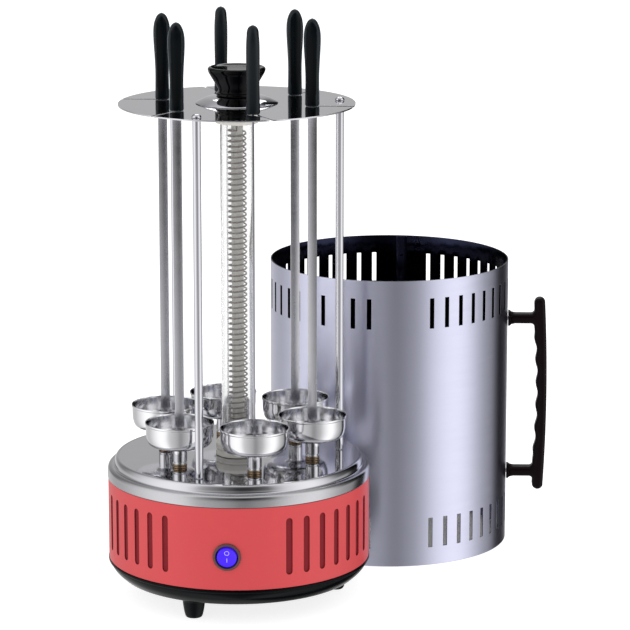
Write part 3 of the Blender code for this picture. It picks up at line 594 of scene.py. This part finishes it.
def build_deck():
    top, under = DECK_TOP, DECK_TOP - SHEET
    centre, lip = 0.0153, DECK_RADIUS
    deck = lathe("deck", [
        (centre, top), (0.1008, top), (0.1012, top + 0.0002, 0.0006), (0.103, top - 0.0002, 0.0022),
        (0.1043, 0.1172, 0.0016), (0.1046, 0.114, 0.0009), (0.1056, 0.1133, 0.0006), (0.1078, 0.1134, 0.0014),
        (0.11, 0.1118, 0.003), (lip, 0.1085, 0.003), (lip, DECK_BOTTOM, 0.0005),
        (lip - 0.0011, DECK_BOTTOM, 0.0004), (lip - 0.0012, 0.108, 0.002), (0.1076, 0.1118, 0.002),
        (0.1036, 0.1124, 0.0008), (0.103, 0.116, 0.0016), (0.1015, under, 0.0016), (centre, under),
    ], 192, loop=True, segments=5)
    holes = rods_at(0.0052, 28, STATION_PLACES, top) + rods_at(0.0026, 20, POST_PLACES, top)
    deck = carved(deck, solids("deck_holes", holes))
    paint(deck, 1, lambda at, normal: at.xy.length > 0.1062)
    shade_true(deck)
    piece("deck", "pressed", deck, "root", [DECK_STEEL, LIP_STEEL], AT_BASE)


def build_inside():
    """The drive keeps its CAD shapes and gets its finishes."""
    finishes = {"chassis_plate": ZINC, "gear_motor": ZINC, "motor_pinion": BRASS, "drive_gear": NYLON}
    finishes.update({f"cup_gear_{k}": NYLON for k in STATIONS})
    for node, material in finishes.items():
        for material_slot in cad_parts[node].material_slots:
            material_slot.material = material


# -------- heater
def build_heater():
    tube_radius, tube_low, tube_high = span("heater_tube")
    bore = tube_radius - 0.0014
    tube = lathe("tube", [(bore, tube_high, 0.0004), (tube_radius, tube_high, 0.0004),
                          (tube_radius, tube_low, 0.0004), (bore, tube_low, 0.0004)], 72, loop=True)
    piece("heater_tube", "quartz", tube, "root", [QUARTZ], AT_BASE)

    core_radius, core_low, core_high = span("heater_core")
    core = lathe("core", [(0.0, core_high), (core_radius, core_high, 0.0005), (core_radius, core_low, 0.0005),
                          (0.0, core_low)], SMALL_STEPS)
    piece("heater_core", "rod", core, "root", [CERAMIC], AT_BASE)
    turns, points_per_turn, coil_radius = 58, 18, 0.0074
    low, high = tube_low + 0.008, tube_high - 0.012
    count = turns * points_per_turn
    spiral = [around(coil_radius, 360.0 * i / points_per_turn, low + (high - low) * i / count)
              for i in range(count + 1)]
    lead_in, lead_out = (around(core_radius + 0.0004, 0.0, z) for z in (low - 0.003, high + 0.003))
    coil = curve_mesh("coil", [lead_in] + spiral + [lead_out], False, dimensions="3D", bevel_depth=0.0007,
                      bevel_resolution=2, use_fill_caps=True)
    piece(None, "heater_coil", coil, "root", [HEATING_WIRE], AT_BASE)

    radius, low, high = span("heater_socket")
    neck, recess, hole = 0.015, tube_radius + FIT_GAP, core_radius + FIT_GAP
    seat, shoulder = tube_low - FIT_GAP, DECK_TOP + FIT_GAP
    socket = lathe("socket", [
        (0.0, 0.122), (hole, 0.122), (hole, seat, 0.0004), (recess, seat), (recess, high, 0.0005),
        (0.017, high, 0.001), (radius, high - 0.003, 0.001), (radius, 0.1262, 0.0004),
        (radius - 0.0008, 0.1258, 0.0004), (radius - 0.0008, 0.125, 0.0004), (radius, 0.1246, 0.0004),
        (radius, shoulder, 0.0006), (neck, shoulder), (neck, low, 0.001), (0.0, low),
    ], 72)
    piece("heater_socket", "ceramic", socket, "root", [CERAMIC], AT_BASE)

    radius, low, high = span("heater_cap")
    under, stud = DISC_UNDER - FIT_GAP, 0.003
    cap = lathe("cap", [
        (0.0, high), (stud - 0.0004, high, 0.0003), (stud, high - 0.0008), (stud, under),
        (0.014, under, 0.0008), (radius, 0.414, 0.0012), (radius, 0.4085, 0.0004),
        (radius - 0.0007, 0.4081, 0.0004), (radius - 0.0007, 0.4073, 0.0004), (radius, 0.4069, 0.0004),
        (radius, low, 0.0008), (recess, low, 0.0005), (recess, tube_high + FIT_GAP),
        (hole, tube_high + FIT_GAP, 0.0004), (hole, 0.412), (0.0, 0.412),
    ], 72)
    paint(cap, 1, lambda at, normal: at.z > under + 0.0001)
    piece("heater_cap", "ceramic", cap, "root", [CERAMIC, CHROME], AT_BASE)


# -------- posts, disc, knob
def disc_mesh():
    """Disc with six slots from the rim to round seats, and holes for the posts and the stud."""
    outline = []
    half_width = ENTRY_WIDTH / 2
    rim_points, seat_points = 30, 26
    step = 360.0 / len(STATION_PLACES)
    for azimuth in STATION_AZIMUTHS:
        seat = around(STATION_RADIUS, azimuth)
        mouth = around(DISC_RADIUS, azimuth + ENTRY_SHIFT)
        along = atan2(mouth.y - seat.y, mouth.x - seat.x)
        side = Vector((-sin(along), cos(along), 0.0)) * half_width
        open_half = asin(half_width / SEAT_RADIUS)
        last, first = mouth - side, mouth + side
        outline.append(tuple(last.normalized().xy * DISC_RADIUS))
        for i in range(seat_points + 1):
            turn = along - open_half - (tau - 2 * open_half) * i / seat_points
            outline.append((seat.x + SEAT_RADIUS * cos(turn), seat.y + SEAT_RADIUS * sin(turn)))
        start = atan2(first.y, first.x)
        wide = radians(step) - 2 * half_width / DISC_RADIUS
        for i in range(rim_points):
            turn = start + wide * i / rim_points
            outline.append((DISC_RADIUS * cos(turn), DISC_RADIUS * sin(turn)))
    disc = outline_mesh("disc", outline, DISC_TOP - DISC_UNDER)
    holes = rods_at(0.0022, 20, POST_PLACES) + rods_at(0.004, 28, [BASE])
    return shade_true(carved(disc, solids("disc_holes", holes), edge=0.00022, edge_angle=60.0))


def build_top():
    radius, low, _ = span("post_1")
    under, over = DISC_UNDER - FIT_GAP, DECK_TOP + FIT_GAP
    post = lathe("post", [
        (0.0, 0.406), (0.0021, 0.406, 0.0002), (0.0021, under), (radius - 0.0004, under, 0.0002),
        (radius, under - 0.0006, 0.0003), (radius, DECK_TOP + 0.001, 0.0003),
        (radius - 0.0004, over), (0.0022, over), (0.0022, low), (0.0, low),
    ], 48)
    screw_radius, _, screw_top = span("post_screw_1")
    head = DISC_TOP + FIT_GAP
    screw = lathe("screw", [
        (0.0, screw_top), (0.0014, screw_top, 0.001), (0.0033, screw_top - 0.0008, 0.0014),
        (screw_radius, head + 0.0003, 0.0004), (screw_radius, head, 0.0001), (0.0018, head),
        (0.0018, 0.408), (0.0, 0.408),
    ], SMALL_STEPS)
    screw = with_cross(screw, screw_top)
    for k, place in zip(POSTS, POST_PLACES):
        spot = Matrix.Translation(place)
        piece(f"post_{k}", "chromed", post, "root", [CHROME], spot)
        piece(f"post_screw_{k}", "cross", screw, "root", [CHROME], spot @ spun(25.0 * k))

    piece("top_disc", "polished", disc_mesh(), "root", [DISC_STEEL],
          AT_BASE @ raised((DISC_TOP + DISC_UNDER) / 2))

    radius, low, high = span("knob_dome")
    dome = lathe("dome", [
        (0.004, high, 0.0002), (0.0165, high - 0.0002, 0.004), (0.0245, high - 0.0014, 0.005),
        (0.031, high - 0.0042, 0.004), (radius - 0.0006, low + 0.0006, 0.0012),
        (radius, low + 0.0002, 0.0003), (radius, low), (0.0322, low), (0.03, high - 0.005, 0.003),
        (0.024, high - 0.0024, 0.005),
        (0.0165, high - 0.0011, 0.004), (0.004, high - 0.0009),
    ], loop=True)
    piece("knob_dome", "polished", dome, "root", [CHROME], AT_BASE)

    radius, low, high = span("knob")
    bore = 0.0035
    knob = lathe("knob", [
        (0.0, high - 0.0019), (0.0175, high - 0.0017, 0.003), (0.0203, high - 0.0004, 0.0014),
        (0.0222, high, 0.001), (radius, high - 0.0014, 0.0011), (radius - 0.0004, high - 0.0042, 0.002),
        (0.0158, low + 0.0062, 0.003), (0.015, low + 0.0036, 0.0014), (0.0157, low + 0.0022, 0.0006),
        (0.0168, low + 0.0018, 0.0006), (0.0171, low + 0.0004, 0.0003), (0.0168, low), (bore, low),
        (bore, 0.441), (0.0, 0.441),
    ])
    piece("knob", "glossy", knob, "knob", [GLOSS_BLACK], AT_BASE)


# -------- cups and skewers
def cup_mesh():
    radius, low, high = span("cup_3")
    bottom, stem, neck, shaft = 0.1388, 0.006, 0.1237, 0.003
    cup = lathe("cup", [
        (0.0, 0.152), (0.0062, 0.152, 0.0008), (0.0067, 0.1428, 0.0014), (0.0232, 0.142, 0.003),
        (0.027, 0.1452, 0.0034), (0.0277, 0.156, 0.001), (0.0279, high - 0.0008, 0.0004),
        (0.0281, high, 0.0004), (radius, high, 0.0005), (radius, high - 0.0016, 0.0005),
        (radius - 0.0006, high - 0.002, 0.0003), (radius - 0.0007, 0.147, 0.004),
        (0.0262, 0.1408, 0.004), (0.0215, bottom, 0.0026), (0.0088, bottom, 0.001),
        (stem, bottom - 0.0014, 0.0012), (stem, neck + 0.0018, 0.0002),
        (stem - 0.0008, neck + 0.0014, 0.0002), (stem - 0.0008, neck + 0.0008, 0.0002),
        (stem, neck + 0.0005, 0.0002), (stem, neck), (shaft, neck),
        (shaft, low, 0.0003), (0.0, low),
    ], 96)
    socket_bottom, socket_depth = 0.1432, 0.02
    return with_blade_hole(cup, socket_depth, socket_bottom + socket_depth / 2)


def grip_mesh():
    """Spear-headed skewer handle with a shallow lengthwise panel on both wide faces."""
    _, low, high = span("skewer_handle_2")
    sections = (   # height share, half width, half depth, roundness of the section
        (0.000, 0.0051, 0.005, 2.8), (0.006, 0.0056, 0.0055, 2.8), (0.018, 0.0058, 0.0057, 2.8),
        (0.32, 0.0056, 0.0058, 2.7), (0.5, 0.0061, 0.006, 2.6), (0.66, 0.0068, 0.0061, 2.5),
        (0.79, 0.007, 0.006, 2.4), (0.88, 0.0063, 0.0055, 2.2), (0.95, 0.0045, 0.0044, 2.0),
        (0.985, 0.0026, 0.0027, 2.0), (1.000, 0.0004, 0.0004, 2.0),
    )
    corners, levels = 56, 72
    loft = bmesh.new()
    rings = []
    for level in range(levels + 1):
        even = level / levels
        share = even - 0.0175 * sin(tau * even)     # closer rings at the ends
        half_width, half_depth, power = table_row(sections, min(share, 1.0))
        depth = 0.00055 * smoothstep(0.03, 0.3, share) * (1.0 - smoothstep(0.86, 0.96, share))
        ring = []
        for i in range(corners):
            angle = tau * (i + 0.5) / corners
            x, y = cos(angle), sin(angle)
            scale = (abs(x) ** power + abs(y) ** power) ** (-1 / power)
            x, y = x * scale, y * scale
            panel = depth * (1.0 - smoothstep(0.42, 0.74, abs(x)))
            ring.append(loft.verts.new((half_width * x, copysign(half_depth * abs(y) - panel, y),
                                        share * (high - low))))
        rings.append(ring)
    for lower, upper in zip(rings, rings[1:]):
        for i in range(corners):
            j = (i + 1) % corners
            loft.faces.new((lower[i], lower[j], upper[j], upper[i]))
    loft.faces.new(list(reversed(rings[0])))
    loft.faces.new(rings[-1])
    tang_depth = span("skewer_blade_2")[2] - low + TANG_GAP
    grip = smoothed(with_blade_hole(mesh_of("grip", loft, 50.0), 2 * tang_depth), 50.0)
    panel_end = 0.965 * (high - low)
    # The panels on the wide faces take the darker plastic: painted shade.
    paint(grip, 1, lambda at, normal: at.z < panel_end and abs(normal.y) > 0.86 and abs(at.x) < 0.0042)
    return grip


def blade_mesh():
    """Flat skewer blade with a pointed tip and eased edges."""
    _, low, high = span("skewer_blade_2")
    half, taper = BLADE_SIZE[0] / 2, 0.014
    tip = [(half * (1 - (1 - i / 6) ** 1.6) if i else 0.0, low + taper * i / 6) for i in range(7)]
    outline = tip + [(half, high), (-half, high)] + [(-x, y) for x, y in reversed(tip[1:])]
    flat = outline_mesh("blade", outline, BLADE_SIZE[1])
    flat.transform(ONTO_EDGE)
    return bevelled(flat, 0.00035, 40.0)


def build_stations():
    cup, grip, blade = cup_mesh(), grip_mesh(), blade_mesh()
    radius, low, high = span("cup_bush_1")
    bush = lathe("bush", [
        (0.0034, high, 0.0002), (radius - 0.0004, high, 0.0003), (radius, high - 0.0005, 0.0003),
        (radius, high - 0.0011, 0.0002), (radius - 0.0009, high - 0.0013, 0.0002),
        (radius - 0.0009, high - 0.0016, 0.0002), (radius, high - 0.0018, 0.0002),
        (radius, DECK_TOP + FIT_GAP, 0.0002), (0.0049, DECK_TOP + FIT_GAP), (0.0049, low, 0.0003),
        (0.0034, low, 0.0003),
    ], SMALL_STEPS, loop=True)
    handle_low = span("skewer_handle_1")[1]
    for k, place, turn in zip(STATIONS, STATION_PLACES, BLADE_TURNS):
        turned = Matrix.Translation(place) @ spun(turn)
        piece(f"cup_bush_{k}", "brass", bush, "root", [BRASS], Matrix.Translation(place))
        piece(f"cup_{k}", "turned", cup, f"cup_{k}", [CUP_METAL], turned)
        piece(f"skewer_blade_{k}", "ground", blade, f"skewer_{k}", [BLADE_STEEL], turned)
        piece(f"skewer_handle_{k}", "moulded", grip, f"skewer_{k}", [GRIP_BLACK, GRIP_PANEL_SHADE],
              turned @ raised(handle_low))


# -------- switch and cord gland
def rocker_face(radius):
    """Height of the rocker's dished face at a distance from its middle."""
    return 0.0036 + 0.0011 * (radius / 0.0076) ** 2


def rocker_mesh():
    """Dished round rocker, with a ring and a stroke that lie on its face."""
    face = [(0.0076 * i / 10, rocker_face(0.0076 * i / 10)) for i in range(11)]
    body = lathe("rocker", face + [(0.0082, 0.0044, 0.0003), (0.0082, -0.0012, 0.0006), (0.0046, -0.0042),
                                   (0.0, -0.0042)], 72)
    ring = lathe("ring", [(0.00165, 0.00008), (0.00205, 0.00008), (0.00205, -0.0002), (0.00165, -0.0002)],
                 40, loop=True)
    ring.transform(Matrix.Translation((0, 0.0039, 0)))
    width, length, depth, cuts = 0.00042, 0.0034, 0.00028, 6
    stroke = solids("stroke", [("box", (width, length / cuts, depth),
                                Matrix.Translation((0, -0.0024 + length * (i - 2.5) / cuts, -0.00006)))
                               for i in range(cuts)])
    for marks in (ring, stroke):
        for vertex in marks.vertices:
            vertex.co.z += rocker_face(vertex.co.xy.length)
    return joined("rocker", [(body, raised(0.0), 0), (ring, raised(0.0), 1), (stroke, raised(0.0), 1)])


def build_fittings():
    bezel_radius, height = across("switch_housing")
    well, barrel = 0.0087, 0.0099
    housing = lathe("housing", [
        (0.0, -0.009), (well, -0.009), (well, 0.001, 0.0003), (0.0092, 0.0016, 0.0004),
        (0.0098, 0.0022, 0.0006), (0.0109, 0.0018, 0.0008), (bezel_radius, 0.0008, 0.0004),
        (bezel_radius, 0.0003), (barrel, 0.0003), (barrel, -0.022, 0.0006), (0.0, -0.022),
    ], 96)
    paint(housing, 1, lambda at, normal: at.xy.length < 0.0095 and at.z > -0.01)
    piece("switch_housing", "ringed", housing, "root", [BEZEL, BEZEL_DARK],
          AT_BASE @ outward(BAND_RADIUS, SWITCH_AZIMUTH, height))
    pivot = AT_BASE @ outward(BAND_RADIUS - 0.003, SWITCH_AZIMUTH, height)
    piece("switch_rocker", "lit", rocker_mesh(), "rocker", [ROCKER_BLUE, MARK_LILAC],
          pivot @ Matrix.Rotation(ROCKER_LEAN, 4, "X"))

    radius, height = across("cord_gland")
    gland = lathe("gland", [
        (0.0, -0.006), (0.0036, -0.006), (0.0036, 0.006, 0.0004), (0.0052, 0.006, 0.0006),
        (0.0056, 0.0048, 0.0003), (0.0063, 0.0046, 0.0003), (0.0068, 0.0036, 0.0003),
        (0.0078, 0.0034, 0.0003), (0.0086, 0.0024, 0.0004), (radius, 0.0016, 0.0004), (radius, 0.0003),
        (0.0055, 0.0003), (0.0055, -0.01, 0.0005), (0.0, -0.01),
    ], 64)
    piece("cord_gland", "ribbed", gland, "root", [GRIP_BLACK],
          AT_BASE @ outward(BAND_RADIUS, GLAND_AZIMUTH, height))


# -------- cover
def cover_tube():
    """Upright tube with rectangular slots, whose edges are edges of its facets."""
    slots = azimuths(COVER_SLOT_GROUPS, COVER_SLOT_PITCH)
    half = degrees(COVER_SLOT[0] / 2 / COVER_RADIUS)
    cuts = sorted(azimuth % 360.0 + side * half for azimuth in slots for side in (-1, 1))
    columns = []
    for left, right in zip(cuts, cuts[1:] + [cuts[0] + 360.0]):
        steps = max(round((right - left) / FACET), 1)
        columns += [left + (right - left) * i / steps for i in range(steps)]
    levels = [0.0, *(z + side * COVER_SLOT[1] / 2 for z in COVER_SLOT_ROWS for side in (-1, 1)), COVER_HEIGHT]
    shape = bmesh.new()
    outer, inner = ([[shape.verts.new(around(radius, azimuth, z)) for z in levels] for azimuth in columns]
                    for radius in (COVER_RADIUS, COVER_RADIUS - COVER_WALL))
    count = len(columns)

    def is_open(i, k):
        right = columns[i + 1] if i < count - 1 else columns[0] + 360.0
        middle = (columns[i] + right) / 2
        return k in (1, 3) and any(abs((middle - slot + 180.0) % 360.0 - 180.0) < half for slot in slots)

    for i in range(count):
        j = (i + 1) % count
        for k in range(len(levels) - 1):
            low = (outer[i][k], outer[j][k], inner[j][k], inner[i][k])
            high = (outer[i][k + 1], outer[j][k + 1], inner[j][k + 1], inner[i][k + 1])
            if is_open(i, k):
                shape.faces.new(low)
                shape.faces.new((high[1], high[0], high[3], high[2]))
                shape.faces.new((high[0], low[0], low[3], high[3]))
                shape.faces.new((low[1], high[1], high[2], low[2]))
            else:
                shape.faces.new((low[0], low[1], high[1], high[0]))
                shape.faces.new((low[2], low[3], high[3], high[2]))
        shape.faces.new((outer[j][0], outer[i][0], inner[i][0], inner[j][0]))
        shape.faces.new((outer[i][-1], outer[j][-1], inner[j][-1], inner[i][-1]))
    bmesh.ops.recalc_face_normals(shape, faces=shape.faces)
    return mesh_of("shell", shape)


def grip_outline():
    """Side view of the cover's handle as (reach, height)."""
    low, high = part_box("cover_handle")
    reach = high.x - COVER.x
    inner_face, foot = 0.1292, COVER_RADIUS + 0.0005
    middle, half = (low.z + high.z) / 2, (high.z - low.z) / 2
    end_round, half_arm = 0.005, 0.0045

    def rounded(centre_x, centre_z, radius, start, stop, points=7):
        turns = [radians(start + (stop - start) * i / (points - 1)) for i in range(points)]
        return [(centre_x + radius * cos(t), centre_z + radius * sin(t)) for t in turns]

    def inner(height):
        bow = max(0.003 * (1 - ((height - middle) / 0.062) ** 2), 0.0)
        hollow = 0.0009 * cos(tau * (height - middle) / 0.0205)
        return inner_face + bow + hollow * smoothstep(0.0002, 0.0012, bow)

    def arm(height):
        """From the grip's inner face round the arm and its foot, downwards."""
        fillet, flare = 0.003, 0.0022
        up, down = height + half_arm, height - half_arm
        return (rounded(inner_face - fillet, up + fillet, fillet, 0.0, -90.0)
                + [(foot + 0.006, up), (foot + 0.003, up + flare * 0.3), (foot + 0.0012, up + flare),
                   (foot, up + flare), (foot, down - flare), (foot + 0.0012, down - flare),
                   (foot + 0.003, down - flare * 0.3), (foot + 0.006, down)]
                + rounded(inner_face - fillet, down - fillet, fillet, 90.0, 0.0))

    steps = 24
    outer = []
    for i in range(steps + 1):
        height = low.z + end_round + (2 * half - 2 * end_round) * i / steps
        outer.append((reach - 0.0026 * ((height - middle) / half) ** 2, height))
    cap_x = inner_face + end_round
    outline = outer + rounded(cap_x - 0.0002, high.z - end_round, end_round, 20.0, 180.0, 9)
    outline += arm(GRIP_ARMS[1])
    top, bottom = GRIP_ARMS[1] - half_arm - 0.005, GRIP_ARMS[0] + half_arm + 0.005
    outline += [(inner(top + (bottom - top) * i / 70), top + (bottom - top) * i / 70) for i in range(71)]
    outline += arm(GRIP_ARMS[0])
    outline += rounded(cap_x - 0.0002, low.z + end_round, end_round, 180.0, 340.0, 9)
    return outline


def build_cover():
    shell = bevelled(cover_tube(), 0.00022)
    inside = COVER_RADIUS - COVER_WALL
    strip = bevelled(arc_plate("seam", inside - 0.00005, 0.0009, COVER_SEAM - 2.6, COVER_SEAM + 2.6,
                               0.0004, COVER_HEIGHT - 0.0006), 0.0002)
    weld = lathe("weld", [(0.0, 0.00022), (0.0011, 0.00018, 0.0004), (0.0017, -0.0001), (0.0, -0.0001)], 20)
    welds = [(weld, spun(COVER_SEAM)
              @ Matrix.Translation((0, -(inside - 0.00095), COVER_HEIGHT * (i + 0.5) / 7))
              @ Matrix.Rotation(-pi / 2, 4, "X"), 0) for i in range(7)]
    shell = joined("shell", [(shell, raised(0.0), 0), (strip, raised(0.0), 0)] + welds)
    # All faces that don't face outwards take the near-black steel: painted shade.
    paint(shell, 1, lambda at, normal: normal.xy.dot(at.xy) < 0.6 * at.xy.length)
    shade_true(shell, COVER_RADIUS)
    piece("cover_shell", "rolled", shell, "cover", [COVER_STEEL, COVER_INSIDE_SHADE], AT_COVER)

    handle = outline_mesh("handle", grip_outline(), 0.013, rounding=0.0034, resolution=4)
    turn = spun(GRIP_AZIMUTH - 90.0) @ ONTO_EDGE
    piece("cover_handle", "moulded", smoothed(handle, 40.0), "cover", [COVER_GRIP],
          AT_COVER @ turn)

    screw = lathe("cover_screw", [
        (0.0, 0.012), (0.0019, 0.012, 0.0003), (0.0019, 0.0), (0.0042, 0.0, 0.0002),
        (0.0041, -0.0006, 0.0004), (0.003, -0.002, 0.0012), (0.0012, -0.0024, 0.0008), (0.0, -0.0024),
    ], SMALL_STEPS)
    screw = with_cross(screw, -0.0024)
    for k, height in enumerate(GRIP_ARMS, 1):
        spot = AT_COVER @ outward(inside - 0.0006, GRIP_AZIMUTH, height)
        piece(f"cover_screw_{k}", "cross", screw, "cover", [CHROME], spot)


# -------- studio
GLOW_ROUND = (  # azimuth, brightness at and below the horizon as polished parts see it
    (-180, 0.84), (-150, 0.74), (-125, 0.66), (-95, 1.05), (-70, 1.38), (-48, 1.28), (-36, 0.8), (-19, 0.72),
    (-4, 0.56), (2, 0.42), (9, 0.42), (15, 0.52), (28, 0.68), (36, 0.84), (46, 1.06), (60, 1.34),
    (73, 1.38), (84, 1.12), (94, 0.84), (106, 0.66), (119, 0.5), (124, 0.2), (130, 0.02), (156, 0.02),
    (166, 0.7), (180, 0.84),
)
GLOW_TOP = 0.9  # brightness overhead
GLOW_SCALE = 1.5  # the ramps hold values up to 1
# share of a level that is kept above the horizon
GLOW_UPPER = ((0.0, 0.0), (0.3, 0.02), (0.45, 0.16), (0.57, 0.78), (0.7, 0.96), (1.0, 1.0))


def build_world():
    """Soft boxes left and right, a dark room in front and a bright ceiling, as smooth gradients."""
    world = bpy.data.worlds.new("studio")
    world.use_nodes = True
    world.cycles.sampling_method = "NONE"
    nodes, links = world.node_tree.nodes, world.node_tree.links
    direction = nodes.new("ShaderNodeSeparateXYZ")
    links.new(nodes.new("ShaderNodeTexCoord").outputs["Generated"], direction.inputs["Vector"])

    math_node = math_nodes(world.node_tree)

    def ramp_node(source, stops):
        node = nodes.new("ShaderNodeValToRGB")
        ramp = node.color_ramp
        ramp.interpolation = "B_SPLINE"
        while len(ramp.elements) < len(stops):
            ramp.elements.new(0.5)
        for element, (place, value) in zip(ramp.elements, stops):
            element.position = place
            element.color = (value, value, value, 1.0)
        links.new(source, node.inputs["Fac"])
        return node.outputs["Color"]

    forward = math_node("MULTIPLY", direction.outputs["Y"], -1.0)
    turn = math_node("ARCTAN2", direction.outputs["X"], forward)
    share = math_node("ADD", math_node("MULTIPLY", turn, 1.0 / tau), 0.5)
    level = ramp_node(share, [((azimuth + 180) / 360, glow / GLOW_SCALE) for azimuth, glow in GLOW_ROUND])
    lower = math_node("MULTIPLY", level, GLOW_SCALE)
    change = math_node("SUBTRACT", math_node("MULTIPLY", lower, ramp_node(level, GLOW_UPPER)), lower)
    rising = ramp_node(math_node("ADD", direction.outputs["Z"], 0.14), [(0.0, 0.0), (0.16, 1.0)])
    walls = math_node("ADD", lower, math_node("MULTIPLY", change, rising))
    ceiling = ramp_node(direction.outputs["Z"], [(0.0, 0.0), (0.6, 0.0), (0.8, 0.6), (1.0, 1.0)])
    gap = math_node("SUBTRACT", GLOW_TOP, walls)
    total = math_node("ADD", walls, math_node("MULTIPLY", gap, ceiling))
    background = nodes["Background"]
    background.inputs["Color"].default_value = (1.0, 1.0, 1.0, 1.0)
    links.new(total, background.inputs["Strength"])
    bpy.context.scene.world = world


def glowing(name, colour, strength):
    """Matt white that also gives some light of its own."""
    material = surface(name, colour, 0.0, 0.6, tint=0.005, tint_scale=3.0, specular=0.0,
                       Emission_Color=(1.0, 1.0, 1.0, 1.0), Emission_Strength=strength)
    material.cycles.emission_sampling = "NONE"
    return material


def fade_inside(material, strength):
    """Light of its own everywhere but where the standing cover shuts out the sky."""
    nodes, links = material.node_tree.nodes, material.node_tree.links
    sky = with_inputs(nodes.new("ShaderNodeAmbientOcclusion"), Distance=0.5)
    sky.samples = 8
    share = with_inputs(nodes.new("ShaderNodeMapRange"), From_Min=0.2, From_Max=0.44)
    links.new(sky.outputs["AO"], share.inputs["Value"])
    away = nodes.new("ShaderNodeVectorMath")
    away.operation = "DISTANCE"
    away.inputs[1].default_value = COVER
    links.new(nodes.new("ShaderNodeTexCoord").outputs["Object"], away.inputs[0])
    math_node = math_nodes(material.node_tree)
    outside = math_node("GREATER_THAN", away.outputs["Value"], COVER_RADIUS - COVER_WALL / 2)
    most = math_node("MAXIMUM", share.outputs["Result"], outside)
    links.new(math_node("MULTIPLY", most, strength), nodes["Principled BSDF"].inputs["Emission Strength"])


def backdrop(name, mesh, material):
    """Part of the surroundings, which polished parts don't see."""
    thing = placed(name, mesh)
    mesh.materials.append(material)
    thing.visible_glossy = False
    return thing


def build_studio():
    """White floor under a white dome. Polished parts see neither, only the soft boxes of the world."""
    bpy.context.scene.view_settings.view_transform = "Standard"
    build_world()
    reach, dome_radius = 24.0, 24.5
    white = glowing("floor_white", (0.5, 0.5, 0.5), 0.0)
    fade_inside(white, 0.82)
    backdrop("floor", lathe("floor", [(reach, 0.0), (0.0, 0.0)], 96), white)
    shape = bmesh.new()
    bmesh.ops.create_uvsphere(shape, u_segments=48, v_segments=24, radius=dome_radius)
    dome = backdrop("dome", mesh_of("dome", shape), glowing("dome_white", (0.0, 0.0, 0.0), 1.0))
    dome.visible_shadow = False
    light = bpy.data.lights.new("top_back", "AREA")
    light.shape = "RECTANGLE"
    light.size, light.size_y, light.energy = 1.3, 0.55, 7.0
    lamp = placed("top_back", light)
    lamp.location = (0.1, 1.7, 1.75)
    lamp.rotation_euler = (Vector((0.0, 0.0, 0.35)) - lamp.location).to_track_quat("-Z", "Y").to_euler()
    lamp.visible_camera = False


def build_camera():
    camera = bpy.data.cameras.new("camera")
    camera.sensor_width = 36.0
    camera.lens = 181.0
    viewer = placed("camera", camera)
    viewer.location = BASE + Vector((0.06437, -2.584, 0.805))
    viewer.rotation_euler = (pi / 2 - 0.21541, 0.0, 0.0)
    bpy.context.scene.camera = viewer


build_camera()
build_studio()
build_pan()
build_feet()
build_band()
build_deck()
build_inside()
build_heater()
build_top()
build_stations()
build_fittings()
build_cover()
